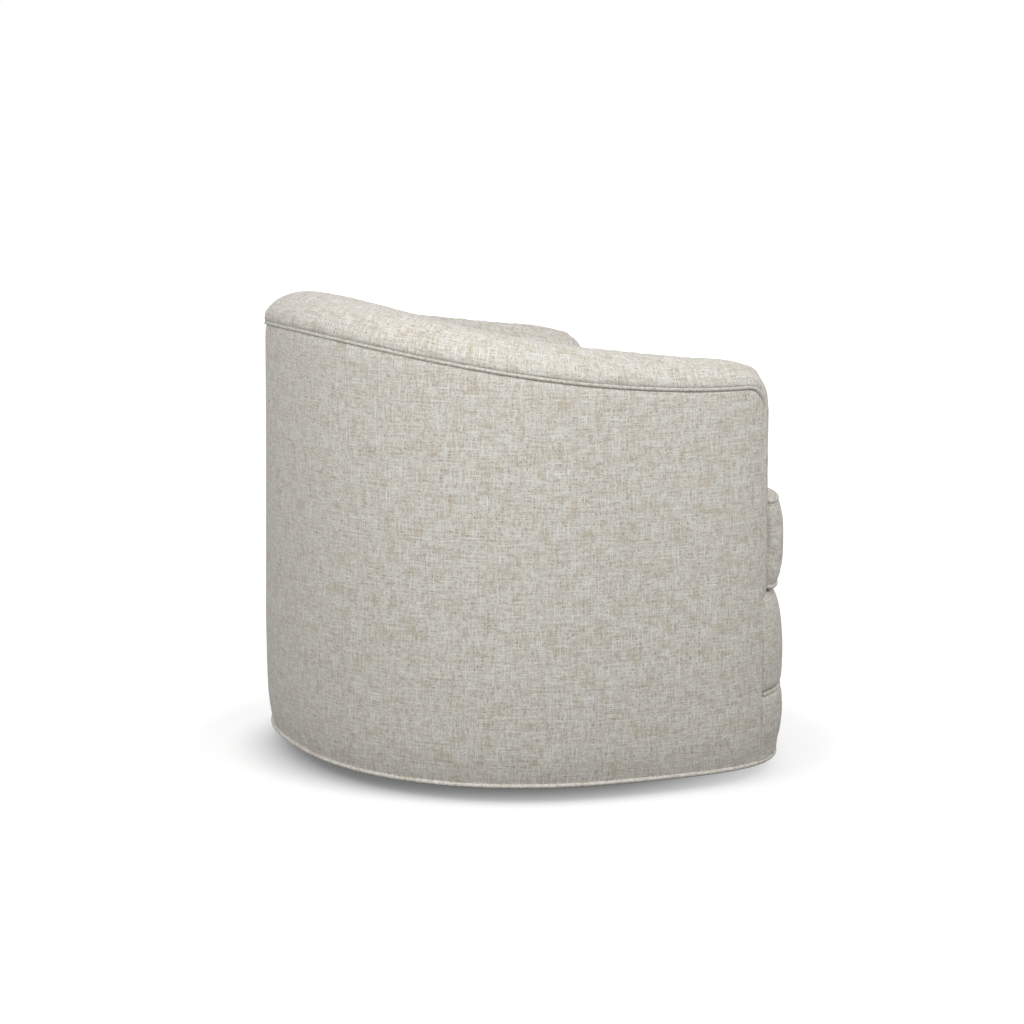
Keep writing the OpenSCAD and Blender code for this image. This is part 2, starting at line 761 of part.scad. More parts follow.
// Swell of the outside panel over its height: share of the height, and how
// far out in shares of the belly
panel_shares = [[0, -1.4], [0.02, -0.6], [0.05, 0.1], [0.1, 0.7], [0.27, 1], [0.5, 0.6],
                [0.75, 0.1], [0.96, -0.3], [1, -0.9]];
panel_end = arm_reach - welt_r - fit_gap;
module outside_panel() {
  color("gainsboro") loft([for (st = barrel(panel_end))
    let (y = st[0][1], top = edge_z(y, -welt_r - fit_gap), h = top - hem_bottom)
    ring(st, concat(
      [for (q = panel_shares) [-belly * q[1], hem_bottom + h * q[0]]],
      [[panel_t, top], [panel_t, hem_bottom + hem_lip_t],
       [hem_lip_w, hem_bottom + hem_lip_t], [hem_lip_w, hem_bottom]]))]);
}

module outside_board() {
  color("peru") loft([for (st = barrel(panel_end))
    let (y = st[0][1], top = edge_z(y, -welt_r - fit_gap - board_t))
    ring(st, [[board_out, frame_bottom], [board_out, top],
              [board_out + board_t, top], [board_out + board_t, frame_bottom]])]);
}

// Inside pad

pad_edge = welt_r + 3 * fit_gap;
seam_in = 1;
function pad_line(st, set_in) =
  arm_outline(st, foam_bottom, board_out, seam_in + set_in, set_in, set_in,
              edge_z(st[0][1], pad_edge));

module inside_foam() {
  shrink = cover_t + fit_gap;
  color("lemonchiffon") loft([for (st = barrel(frame_front))
    let (line = pad_line(st, shrink), rim_top = edge_z(st[0][1], 0) - top_rim_drop + 4 * fit_gap)
    ring(st, concat(
      [[foam_out, rim_top], [frame_out, rim_top]],
      [for (i = [1 : len(line) - 1]) i < 2 ? [frame_out, line[i][1]] : line[i]],
      [[foam_out, foam_bottom]]))], inside = true);
}

module inside_cover() {
  color("whitesmoke") loft([for (st = barrel(cover_end))
    let (outer = pad_line(st, 0), inner = pad_line(st, cover_t), n = len(outer))
    ring(st, concat(
      [for (i = [2 : n - 1]) outer[i]],
      [for (i = [n - 1 : -1 : 2]) inner[i]]))]);
}

// The padded front of an arm starts behind the welt, and past it swells forward
// and rounds over: how far ahead, and how far its faces draw in
front_start = cover_end + fit_gap;
front_free = arm_reach + welt_r + fit_gap;
swell_shares = [[0, 0.04], [0.5, 0.25], [0.85, 0.55], [1, 1]];
swell_in = 34;
module arm_front(side) {
  hidden_in = board_out + board_t + fit_gap;
  free = arm_reach + arm_front_swell - front_free;
  fan_loft(turned(concat(
    [for (d = [front_start, front_free - joint_gap])
      let (st = arm_station(side, -d))
      ring(st, arm_outline(st, deck_h, hidden_in, seam_in, 0, 0, edge_z(-d, pad_edge)))],
    [for (s = swell_shares)
      let (d = front_free + free * s[0], st = arm_station(side, -min(d, front_free + fit_gap)),
           y = -d, shift = st[0][1] - y, in = swell_in * s[1],
           line = arm_outline(st, deck_h, in, in, in, in * 0.4,
                              edge_z(-front_free, 0) - in * 0.4))
      [for (q = ring(st, line)) q - [0, shift, 0]]])));
}
module arm_front_left() { color("gainsboro") mirror([1, 0, 0]) arm_front(1); }
module arm_front_right() { color("gainsboro") arm_front(1); }

// Padded rail and band across the front

front_angle = front_phi(arm_reach + welt_r + fit_gap);
function front_ring(phi, profile) = [for (q = profile) placed(plan_at(phi, q[0]), q[1])];

// Swell of the rail: share of its height, and how far out in belly shares
rail_swell_shares = [[0, -0.6], [0.06, 0.5], [0.2, 0.9], [0.4, 1.05], [0.6, 0.7], [0.75, 0.1],
                     [0.87, -1], [0.95, -2.3], [1, -5]];
rail_foot = rail_welt_h + welt_r + fit_gap;
module front_rail_pad() {
  h = deck_h - rail_foot;
  color("whitesmoke") loft([for (phi = front_span(front_angle))
    let (back = min(rail_top_in, (-plan_xy(phi)[1] - front_start) / -plan_out(phi)[1]))
    front_ring(phi, concat(
      [[-rail_pad_t, rail_foot]],
      [for (q = rail_swell_shares) [belly * q[1], rail_foot + h * q[0]]],
      [[-back, deck_h], [-back, foam_bottom], [-rail_pad_t, foam_bottom]]))]);
}

band_swell_shares = [[0, -1.1], [0.12, -0.8], [0.3, -0.2], [0.5, 0.8], [0.72, 1], [0.92, 0.6],
                     [1, -0.6]];
module front_band() {
  band_top = rail_welt_h - welt_r - fit_gap;
  color("gainsboro") loft([for (phi = front_span(front_angle))
    front_ring(phi, concat(
      [for (q = band_swell_shares) [belly * q[1], hem_bottom + (band_top - hem_bottom) * q[0]]],
      [[-rail_pad_t, band_top], [-rail_pad_t, hem_bottom]]))]);
}

// Welts

welt_in = 2.5;
hem_welt_in = 5;
corner_angles = [12, 30, 48, 66, 84];
upright_shares = [0, 0.4, 0.8];
arm_run_shares = [0.75, 0.5, 0.25, 0];
first_back_angle = 7.5;
module top_welt() {
  low = welt_line(corner_y) - corner_r;
  right = concat(
    [for (s = upright_shares)
      upright_ring(placed([side_x(arm_reach) - welt_in, -arm_reach], blend(deck_h, low, s)), 0)],
    [for (a = corner_angles)
      let (y = corner_y - corner_r * cos(a))
      upright_ring(placed([side_x(-y) - welt_in, y], low + corner_r * sin(a)), a)],
    [for (s = arm_run_shares)
      let (y = corner_y * s)
      cord_ring(placed([side_x(-y) - welt_in, y], welt_line(y)), [1, 0])]);
  back = [for (phi = steps(first_back_angle, 180 - first_back_angle, 22))
    cord_ring(placed(plan_at(phi, -welt_in), welt_line(plan_xy(phi)[1])), plan_out(phi))];
  left = [for (r = turned(right)) [for (p = r) [-p[0], p[1], p[2]]]];
  color("white") loft(concat(right, back, left));
}

module hem_welt() {
  color("white") closed_loft([for (k = [0 : plan_steps - 1])
    let (phi = 360 * k / plan_steps)
    cord_ring(placed(plan_at(phi, -hem_welt_in), hem_h), plan_out(phi))]);
}

module rail_welt() {
  color("white") loft([for (phi = front_span(front_angle))
    cord_ring(placed(plan_at(phi, -welt_in / 2), rail_welt_h), plan_out(phi))]);
}

// Seat cushion

cushion_z = deck_h + fit_gap + welt_r + welt_d * 0.8;
cushion_top_z = cushion_z + boxing_h;
welt_bed = welt_d * 0.85;
cushion_welt_in = 0.5;
ear_y = arm_reach + arm_front_swell + seat_gap;
front_set = belly;
ear_round = 14;

// Half outline of the cushion from the back to the front, drawn in by in:
// the point, its outward way, and its share of the front swell
rear_cushion_angles = [89, 76, 59, 47, 35, 23, 11];
arm_cushion_shares = [0, 0.35, 0.65, 0.9, 1.03];
front_run_shares = [0.08, 0.17, 0.28, 0.41, 0.56, 0.73, 0.88, 0.98];
function cushion_half(in) =
  let (g = seat_gap + in, xi = inner_x(arm_reach) - g, ye = ear_y + in,
       tip_phi = front_phi(ye + ear_round + front_set + in),
       tip = plan_at(tip_phi, -front_set - in))
  concat(
    [for (phi = rear_cushion_angles)
      let (r = squared_r(phi, inner_half_w - g, inner_rear - g, rear_power))
      [[r * cos(phi), r * sin(phi)], [cos(phi), sin(phi)], 0]],
    [for (s = arm_cushion_shares)
      [[inner_x(arm_reach * s) - g, -arm_reach * s], [1, 0], 0]],
    [[[xi, -ye], [0.7, 0.7], 0],
     [[tip[0] - ear_round / 2, -ye - ear_round * 0.06], [0, 1], 0],
     [[tip[0] - ear_round * 0.12, -ye - ear_round * 0.35], [0.7, 0.7], 0],
     [tip, plan_out(tip_phi), 0.6]],
    [for (s = front_run_shares)
      let (phi = blend(tip_phi, -90, s)) [plan_at(phi, -front_set - in), plan_out(phi), 1]]);

// Distance of a point from the nearest edge of the cushion
function edge_distance(x, y) =
  let (r = norm([x, y]), phi = atan2(y, x),
       ahead = max(0, -y), arm = max(0, inner_x(ahead) - seat_gap - abs(x)))
  y > 0
    ? (1 - r / squared_r(phi, inner_half_w - seat_gap, inner_rear - seat_gap, rear_power)) * inner_rear
    : min((1 - r / squared_r(phi, half_w, front_depth, front_power)) * front_depth,
          norm([arm, max(0, -ear_y - y)]));

// Height of the crowned top of the cushion
crown_power = 2.2;
function crown_z(x, y) =
  let (share = max(0, min(1, edge_distance(x, y) / crown_reach)))
  cushion_top_z + crown * (1 - pow(1 - share, crown_power));

// Ring across the cushion: its crowned top, its right side, its flat underside
// and its left side
top_row_shares = [-0.92, -0.75, -0.5, -0.2, 0.2, 0.5, 0.75, 0.92];
bottom_row_shares = [0.9, 0, -0.9];
// Wadding quilted under the crowned top of the cover, over what is drawn in
top_wadding = 6;
function cushion_ring(h, in) =
  let (p = h[0], e = p - h[1] * welt_bed, mid = p + h[1] * boxing_swell * h[2],
       zt = cushion_top_z - in, zb = cushion_z + in, top_in = in > 0 ? in + top_wadding : 0,
       side = [[e, zt], [p, zt - welt_bed], [mid, (zt + zb) / 2], [p, zb + welt_bed], [e, zb]])
  concat(
    [for (u = top_row_shares) placed([u * e[0], e[1]], crown_z(u * e[0], e[1]) - top_in)],
    [for (q = side) placed(q[0], q[1])],
    [for (u = bottom_row_shares) placed([u * e[0], e[1]], deck_h + fit_gap + in)],
    [for (q = turned(side)) placed([-q[0][0], q[0][1]], q[1])]);

// The ends of the form are flat above, below and between each pair of side points
side_points = 5;
top_count = len(top_row_shares);
bottom_count = len(bottom_row_shares);
right_foot = top_count + side_points - 1;
last_point = top_count + bottom_count + 2 * side_points - 1;
cushion_end_faces = concat(
  [[last_point, for (j = [0 : top_count]) j]],
  [for (k = [0 : side_points - 2]) [top_count + k, top_count + k + 1, last_point - k - 1, last_point - k]],
  [[for (j = [right_foot : right_foot + bottom_count + 1]) j]]);
module cushion_form(in) {
  loft([for (h = cushion_half(in)) cushion_ring(h, in)], end_faces = cushion_end_faces);
}

module cushion_cover() {
  color("whitesmoke") difference() {
    cushion_form(0);
    cushion_form(cover_t);
  }
}

// Room for wadding over the core, which lies on the underside of its cover
core_gap = 4;
module cushion_core() {
  color("lemonchiffon") translate([0, 0, fit_gap - core_gap]) cushion_form(cover_t + core_gap);
}

module cushion_welt(z) {
  half = cushion_half(0);
  right = [for (h = half) cord_ring(placed(h[0] - h[1] * cushion_welt_in, z), h[1])];
  left = [for (h = turned(half))
    cord_ring(placed([h[1][0] * cushion_welt_in - h[0][0], h[0][1] - h[1][1] * cushion_welt_in], z),
              [-h[1][0], h[1][1]])];
  color("white") closed_loft(turned(concat(right, left)));
}
module cushion_top_welt() { cushion_welt(cushion_top_z); }
module cushion_bottom_welt() { cushion_welt(cushion_z); }

// Zip along the back boxing of the cushion
zip_h = 14;
zip_t = 1.2;
zip_angle = 62;
module cushion_zip() {
  z = (cushion_z + cushion_top_z) / 2;
  color("gray") loft([for (phi = steps(180 - zip_angle, zip_angle, 12))
    let (a = inner_half_w - seat_gap, b = inner_rear - seat_gap,
         way = [cos(phi), sin(phi)],
         p = way * (squared_r(phi, a, b, rear_power) + fit_gap))
    [placed(p, z - zip_h / 2), placed(p, z + zip_h / 2),
     placed(p + way * zip_t, z + zip_h / 2), placed(p + way * zip_t, z - zip_h / 2)]]);
}

base_bar_long();
base_bar_left();
base_bar_right();
base_glides();
glide_screws();
swivel_lower_plate();
base_bolts();
king_pin();
ball_cage();
swivel_balls();
swivel_upper_plate();
seat_screws();
swivel_rail_left();
swivel_rail_right();
front_rail_board();
seat_side_rail_left();
seat_side_rail_right();
seat_rear_rail();
bottom_rim_arm_left();
bottom_rim_rear_left();
bottom_rim_rear();
bottom_rim_rear_right();
bottom_rim_arm_right();
top_rim_arm_left();
top_rim_rear_left();
top_rim_rear();
top_rim_rear_right();
top_rim_arm_right();
side_post_left();
side_post_right();
rear_post_left();
rear_post_right();
arm_board_left();
arm_board_right();
seat_springs();
spring_clips();
back_webbing();
spring_cloth();
seat_deck();
outside_board();
outside_panel();
inside_foam();
inside_cover();
arm_front_left();
arm_front_right();
front_rail_pad();
front_band();
top_welt();
hem_welt();
rail_welt();
dust_cloth();
cushion_cover();
cushion_core();
cushion_top_welt();
cushion_bottom_welt();
cushion_zip();
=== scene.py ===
import math

import bmesh
import bpy
import numpy as np
from mathutils import Matrix, Vector, kdtree, noise


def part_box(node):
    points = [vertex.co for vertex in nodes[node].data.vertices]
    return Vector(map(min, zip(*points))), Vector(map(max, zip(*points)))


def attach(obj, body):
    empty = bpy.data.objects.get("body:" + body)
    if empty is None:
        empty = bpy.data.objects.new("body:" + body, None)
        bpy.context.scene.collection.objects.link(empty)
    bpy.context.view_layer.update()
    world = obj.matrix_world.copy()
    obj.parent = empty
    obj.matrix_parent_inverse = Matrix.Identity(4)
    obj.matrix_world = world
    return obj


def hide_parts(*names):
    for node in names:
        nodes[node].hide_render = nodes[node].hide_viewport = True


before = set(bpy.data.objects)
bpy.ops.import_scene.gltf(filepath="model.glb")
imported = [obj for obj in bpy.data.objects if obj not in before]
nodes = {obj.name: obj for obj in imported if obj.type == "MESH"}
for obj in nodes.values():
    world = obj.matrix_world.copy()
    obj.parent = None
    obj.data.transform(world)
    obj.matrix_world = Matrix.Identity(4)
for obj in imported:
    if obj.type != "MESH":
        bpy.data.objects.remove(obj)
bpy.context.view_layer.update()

# Steel base
# Three square tubes are welded into a cross under the seat. They are powder
# coated black, and four nylon glides are screwed under their ends.


def put(tree, kind, inputs=None, **settings):
    """Adds a shader node; an input is a value or the output that it is wired to."""
    made = tree.nodes.new("ShaderNode" + kind)
    for name, value in settings.items():
        setattr(made, name, value)
    for name, value in (inputs or {}).items():
        if isinstance(value, bpy.types.NodeSocket):
            tree.links.new(value, made.inputs[name])
        else:
            made.inputs[name].default_value = value
    return made


def calc(tree, operation, a, b=0.0):
    """A sum of one or two values."""
    return put(tree, "Math", {0: a, 1: b}, operation=operation).outputs[0]


def mixed(tree, share, a, b):
    """Colour a turning into colour b by share."""
    return put(tree, "Mix", {0: share, 6: a, 7: b}, data_type="RGBA").outputs[2]


def ramp(tree, value, low, high, first=0.0, last=1.0):
    """Smooth step of a value between two levels."""
    return put(tree, "MapRange", {0: value, 1: low, 2: high, 3: first, 4: last},
               interpolation_type="SMOOTHSTEP").outputs[0]


def paint(red, green, blue):
    """Colour as it is read off a swatch, 0 to 255, as linear light."""
    return tuple(c / 12.92 if c <= 0.04045 else ((c + 0.055) / 1.055) ** 2.4
                 for c in (red / 255, green / 255, blue / 255)) + (1.0,)


def shader_group(name, inputs, outputs):
    """An empty node group, with the sockets of its two ends."""
    group = bpy.data.node_groups.new(name, "ShaderNodeTree")
    for label, kind, value in inputs:
        socket = group.interface.new_socket(label, in_out="INPUT",
                                            socket_type="NodeSocket" + kind)
        if value is not None:
            socket.default_value = value
    for label, kind in outputs:
        group.interface.new_socket(label, in_out="OUTPUT", socket_type="NodeSocket" + kind)
    start = group.nodes.new("NodeGroupInput").outputs
    end = group.nodes.new("NodeGroupOutput").inputs
    return group, start, end


def new_finish(name, **sockets):
    """A material with these plain values on its shader."""
    material = bpy.data.materials.new(name)
    material.use_nodes = True
    tree = material.node_tree
    shader = tree.nodes["Principled BSDF"]
    for label, value in sockets.items():
        shader.inputs[label.replace("_", " ")].default_value = value
    return material, tree, shader.inputs


def clouds(tree, vector, scale, detail=2.0, **more):
    """A soft random pattern, about a half in value."""
    inputs = {"Vector": vector, "Scale": scale, "Detail": detail, **more}
    return put(tree, "TexNoise", inputs).outputs[0]


def wire(tree, output, socket):
    """Leads an output into a socket."""
    tree.links.new(output, socket)


def raised(tree, height, normal_socket, distance, strength=1.0):
    """Wires a height, in metres of distance, into a shader's normal."""
    bump = put(tree, "Bump", {"Height": height, "Distance": distance, "Strength": strength})
    wire(tree, bump.outputs[0], normal_socket)


broad_share = 0.12
mottle, start, end = shader_group(
    "mottle", [("Vector", "Vector", None), ("Size", "Float", 0.004)],
    [("Fine", "Float"), ("Broad", "Float")])
grain_scale = calc(mottle, "DIVIDE", 1.0, start["Size"])
broad_scale = calc(mottle, "MULTIPLY", grain_scale, broad_share)
wire(mottle, clouds(mottle, start["Vector"], grain_scale, 3.0), end["Fine"])
wire(mottle, clouds(mottle, start["Vector"], broad_scale, 4.0), end["Broad"])


def mottled_finish(name, light, dark, size, rough, relief, **sockets):
    """A moulded, coated or cast surface with a fine speckle and broad shading."""
    material, tree, shader = new_finish(name, **sockets)
    place = put(tree, "TexCoord").outputs["Object"]
    speckle = put(tree, "Group", {"Vector": place, "Size": size}, node_tree=mottle)
    shading = speckle.outputs["Broad"]
    wire(tree, mixed(tree, shading, dark, light), shader["Base Color"])
    wire(tree, ramp(tree, shading, 0.3, 0.7, *rough), shader["Roughness"])
    raised(tree, speckle.outputs["Fine"], shader["Normal"], relief, strength=0.6)
    return material


def dress(material, *names):
    """Gives carried-over parts their material."""
    for name in names:
        mesh = nodes[name].data
        mesh.materials.clear()
        mesh.materials.append(material)


powder_coat = mottled_finish("powder_coat", paint(52, 53, 56), paint(36, 37, 40), size=0.0009,
                             rough=(0.42, 0.58), relief=0.00012, Specular_IOR_Level=0.45)
black_nylon = mottled_finish("black_nylon", paint(44, 44, 46), paint(28, 28, 30), size=0.0015,
                             rough=(0.48, 0.7), relief=0.00008)
dress(powder_coat, "base_bar_long", "base_bar_left", "base_bar_right")
dress(black_nylon, "base_glides")

# Swivel
# Two pressed steel plates with a ring of balls between them, in a nylon cage,
# held by a king pin. Plates, bolts and screws are zinc plated.

zinc = mottled_finish("zinc", paint(196, 196, 190), paint(168, 170, 168), size=0.0022,
                      rough=(0.3, 0.46), relief=0.00002, Metallic=1.0)
bearing_steel = mottled_finish("bearing_steel", paint(214, 214, 216), paint(196, 196, 200),
                               size=0.003, rough=(0.1, 0.2), relief=0.000004, Metallic=1.0)
cage_nylon = mottled_finish("cage_nylon", paint(226, 220, 202), paint(210, 203, 182), size=0.002,
                            rough=(0.4, 0.55), relief=0.00003)
dress(zinc, "swivel_lower_plate", "swivel_upper_plate", "base_bolts", "seat_screws", "king_pin",
      "glide_screws", "spring_clips")
dress(bearing_steel, "swivel_balls")
dress(cage_nylon, "ball_cage")

# Wooden frame
# Sawn hardwood rails and posts, and curved rims, arm fronts and a front rail of
# bent plywood, glued and stapled. None of it is finished.

grain, start, end = shader_group(
    "grain", [("Vector", "Vector", None), ("Rings", "Float", 0.009)],
    [("Figure", "Float"), ("Pores", "Float")])
wander_depth, pores_per_metre = 0.05, (60.0, 1600.0, 1600.0)
wander = clouds(grain, start["Vector"], 3.0)
parts = put(grain, "SeparateXYZ", {0: start["Vector"]}).outputs
across = calc(grain, "ADD", calc(grain, "ADD", parts[1], parts[2]),
              calc(grain, "MULTIPLY", wander, wander_depth))
ring_angle = calc(grain, "DIVIDE", across, calc(grain, "DIVIDE", start["Rings"], math.tau))
rings = calc(grain, "SINE", ring_angle)
wire(grain, ramp(grain, rings, -1.0, 1.0), end["Figure"])
stretched = put(grain, "VectorMath", {0: start["Vector"], 1: pores_per_metre},
                operation="MULTIPLY").outputs[0]
pores = clouds(grain, stretched, 1.0)
wire(grain, ramp(grain, pores, 0.52, 0.7), end["Pores"])


def wood_finish(name, light, dark, turn, rings_apart):
    """Unfinished wood whose grain runs along X, after a turn of the pattern."""
    material, tree, shader = new_finish(name, Specular_IOR_Level=0.3)
    place = put(tree, "Mapping", {0: put(tree, "TexCoord").outputs["Object"], 2: turn})
    figure = put(tree, "Group", {"Vector": place.outputs[0], "Rings": rings_apart},
                 node_tree=grain)
    tone = mixed(tree, calc(tree, "MULTIPLY", figure.outputs["Figure"], 0.7), light, dark)
    tone = mixed(tree, calc(tree, "MULTIPLY", figure.outputs["Pores"], 0.35), tone, dark)
    wire(tree, tone, shader["Base Color"])
    wire(tree, ramp(tree, figure.outputs["Pores"], 0.0, 1.0, 0.55, 0.75), shader["Roughness"])
    raised(tree, figure.outputs["Pores"], shader["Normal"], distance=-0.0002, strength=0.7)
    return material


quarter = math.pi / 2
along_x, along_y, along_z = (0.0, 0.0, 0.0), (0.0, 0.0, quarter), (0.0, quarter, 0.0)
pale_wood, dark_wood = paint(214, 184, 140), paint(176, 138, 92)
year_ring, veneer = 0.011, 0.0032
rail_wood = wood_finish("rail_wood", pale_wood, dark_wood, along_x, year_ring)
side_wood = wood_finish("side_wood", pale_wood, dark_wood, along_y, year_ring)
post_wood = wood_finish("post_wood", pale_wood, dark_wood, along_z, year_ring)
ply = wood_finish("ply", paint(222, 196, 156), paint(184, 150, 106), along_x, veneer)
dress(rail_wood, "seat_rear_rail")
dress(side_wood, "swivel_rail_left", "swivel_rail_right", "seat_side_rail_left",
      "seat_side_rail_right")
dress(post_wood, "side_post_left", "side_post_right", "rear_post_left", "rear_post_right")
dress(ply, "front_rail_board", "arm_board_left", "arm_board_right",
      *[name for name in nodes if "_rim_" in name])

# Springs, clips, webbing and board
# Sinuous wire springs in steel clips carry the seat. Jute webbing crosses the
# arms and back, and fibreboard is stapled round the outside.

oiled_steel = mottled_finish("oiled_steel", paint(112, 114, 118), paint(78, 80, 84), size=0.003,
                             rough=(0.28, 0.42), relief=0.00002, Metallic=1.0)
raw_board = mottled_finish("raw_board", paint(170, 146, 112), paint(144, 120, 88), size=0.0016,
                           rough=(0.75, 0.9), relief=0.0003)
dress(oiled_steel, "seat_springs")
dress(raw_board, "outside_board")

weave, start, end = shader_group(
    "weave", [("Vector", "Vector", None), ("Pitch", "Float", 0.0012), ("Slub", "Float", 0.012)],
    [("Height", "Float"), ("Over", "Float"), ("Warp", "Float"), ("Weft", "Float")])


def threads(tree, vector, wide, long, offset, lengthways):
    """Streaks one thread wide and a slub long, along the warp or the weft."""
    at = put(tree, "SeparateXYZ", {0: vector}).outputs
    fine_x = calc(tree, "DIVIDE", at[0], wide if lengthways else long)
    fine_y = calc(tree, "DIVIDE", at[1], long if lengthways else wide)
    place = put(tree, "CombineXYZ", {0: fine_x, 1: fine_y, 2: offset}).outputs[0]
    return clouds(tree, place, 1.0, Roughness=0.6)


thread_width, crossing_share, slub_share, slub_pitches = 1.5, 0.5, 0.8, 9
wide = calc(weave, "MULTIPLY", start["Pitch"], thread_width)
warp = threads(weave, start["Vector"], wide, start["Slub"], offset=0.0, lengthways=True)
weft = threads(weave, start["Vector"], wide, start["Slub"], offset=9.0, lengthways=False)
at = put(weave, "SeparateXYZ", {0: start["Vector"]}).outputs
turns = calc(weave, "DIVIDE", math.pi, start["Pitch"])
wave_x = calc(weave, "SINE", calc(weave, "MULTIPLY", at[0], turns))
wave_y = calc(weave, "SINE", calc(weave, "MULTIPLY", at[1], turns))
crossing = calc(weave, "MULTIPLY", wave_x, wave_y)
thickness = calc(weave, "MULTIPLY", calc(weave, "ADD", warp, weft), slub_share)
wave_height = calc(weave, "MULTIPLY", crossing, crossing_share)
wire(weave, calc(weave, "ADD", wave_height, thickness), end["Height"])
wire(weave, ramp(weave, crossing, -0.25, 0.25), end["Over"])
wire(weave, warp, end["Warp"])
wire(weave, weft, end["Weft"])


def woven(tree, place, pitch, slub):
    """The weave, with the pitch of its threads and the length of its slubs."""
    cloth = put(tree, "Group", {"Vector": place, "Pitch": pitch, "Slub": slub}, node_tree=weave)
    return cloth.outputs


def coarse_cloth(name, light, dark, pitch, relief):
    """A plain cloth of one yarn, with its threads and their shade."""
    material, tree, shader = new_finish(name, Roughness=0.85, Specular_IOR_Level=0.2)
    place = put(tree, "TexCoord").outputs["Object"]
    cloth = woven(tree, place, pitch, slub=pitch * slub_pitches)
    tone = mixed(tree, cloth["Over"], cloth["Warp"], cloth["Weft"])
    wire(tree, mixed(tree, ramp(tree, tone, 0.3, 0.7), dark, light), shader["Base Color"])
    raised(tree, cloth["Height"], shader["Normal"], relief)
    return material


jute_webbing = coarse_cloth("jute_webbing", paint(186, 156, 112), paint(140, 110, 72),
                            pitch=0.0024, relief=0.0006)
dress(jute_webbing, "back_webbing")

# Linen
# Every outer face is cut from one oatmeal linen: a cream plain weave with tan
# and grey slubs in warp and weft, half a centimetre to four centimetres long.

linen_weave, start, end = shader_group(
    "linen_weave", [("Vector", "Vector", None), ("Thread", "Float", 0.00085)],
    [("Shade", "Float"), ("Tan", "Float"), ("Height", "Float")])
at = put(linen_weave, "SeparateXYZ", {0: start["Vector"]}).outputs


def streaks(length, width, seed, detail=0.0):
    """Threads along the weft and along the warp, each about a half in value.
    The width is counted in threads."""
    long = calc(linen_weave, "DIVIDE", 1.0, length)
    fine = calc(linen_weave, "DIVIDE", 1.0 / width, start["Thread"])
    made = []
    for across, up, depth in ((long, fine, seed), (fine, long, seed + 5.0)):
        place = put(linen_weave, "CombineXYZ", {0: calc(linen_weave, "MULTIPLY", at[0], across),
                                                1: calc(linen_weave, "MULTIPLY", at[1], up),
                                                2: depth}).outputs[0]
        made.append(clouds(linen_weave, place, 1.0, detail, Roughness=0.6))
    return made


weft, warp = streaks(length=0.012, width=1.0, seed=0.0)
thick_weft, thick_warp = streaks(length=0.036, width=4.2, seed=20.0, detail=2.0)
cloudy = clouds(linen_weave, start["Vector"], 72.0, Roughness=0.6)
broad = clouds(linen_weave, start["Vector"], 20.0)
shade = 0.5
for spread, share in ((weft, 0.47), (warp, 0.47), (thick_weft, 0.45), (thick_warp, 0.45),
                      (cloudy, 0.32), (broad, 0.10)):
    part = calc(linen_weave, "MULTIPLY", calc(linen_weave, "SUBTRACT", spread, 0.5), share)
    shade = calc(linen_weave, "ADD", shade, part)
dark_slub = calc(linen_weave, "MAXIMUM", *streaks(length=0.0050, width=1.1, seed=40.0))
pale_slub = calc(linen_weave, "MAXIMUM", *streaks(length=0.040, width=1.2, seed=60.0))
shade = calc(linen_weave, "SUBTRACT", shade, ramp(linen_weave, dark_slub, 0.62, 0.74, last=0.34))
shade = calc(linen_weave, "ADD", shade, ramp(linen_weave, pale_slub, 0.65, 0.75, last=0.28))
wire(linen_weave, shade, end["Shade"])
tan_patch = clouds(linen_weave, start["Vector"], 42.0, 3.0, Roughness=0.62, Distortion=0.4)
patch_share, thin_share = 0.65, 0.5
thinnest = calc(linen_weave, "MINIMUM", thick_weft, thick_warp)
thin_place = calc(linen_weave, "SUBTRACT", 1.0, thinnest)
tan_share = calc(linen_weave, "ADD", calc(linen_weave, "MULTIPLY", tan_patch, patch_share),
                 calc(linen_weave, "MULTIPLY", thin_place, thin_share))
wire(linen_weave, ramp(linen_weave, tan_share, 0.59, 0.78), end["Tan"])
wire(linen_weave, calc(linen_weave, "ADD", weft, warp), end["Height"])

linen_tones = [(0.05, paint(150, 140, 122)), (0.38, paint(203, 198, 187)),
               (0.6, paint(219, 217, 210)), (0.98, paint(238, 238, 235))]
tan_thread = paint(188, 170, 140)


def linen_finish(name, turn=0.0, tan_depth=0.46):
    """The linen, with its threads turned, and how deep its tan patches are."""
    material, tree, shader = new_finish(name, Roughness=0.82, Specular_IOR_Level=0.18,
                                        Sheen_Weight=0.12, Sheen_Roughness=0.5)
    cut = put(tree, "UVMap", uv_map="weave").outputs[0]
    turned = put(tree, "Mapping", {0: cut, 2: (0.0, 0.0, turn)}).outputs[0]
    cloth = put(tree, "Group", {"Vector": turned}, node_tree=linen_weave)
    tones = put(tree, "ValToRGB", {0: cloth.outputs["Shade"]})
    stops = tones.color_ramp.elements
    for place, (share, tone) in enumerate(linen_tones):
        between = 0 < place < len(linen_tones) - 1
        stop = stops.new(share) if between else stops[-1 if place else 0]
        stop.position, stop.color = share, tone
    patched = calc(tree, "MULTIPLY", cloth.outputs["Tan"], tan_depth)
    wire(tree, mixed(tree, patched, tones.outputs[0], tan_thread), shader["Base Color"])
    raised(tree, cloth.outputs["Height"], shader["Normal"], distance=0.00022, strength=0.4)
    return material


linen = linen_finish("linen")
bias_linen = linen_finish("bias_linen", turn=quarter / 2, tan_depth=0.25)

# Outside panel
# One wide piece of linen over thin wadding and board. It runs round the back
# from one arm front to the other, and is turned under at the hem.

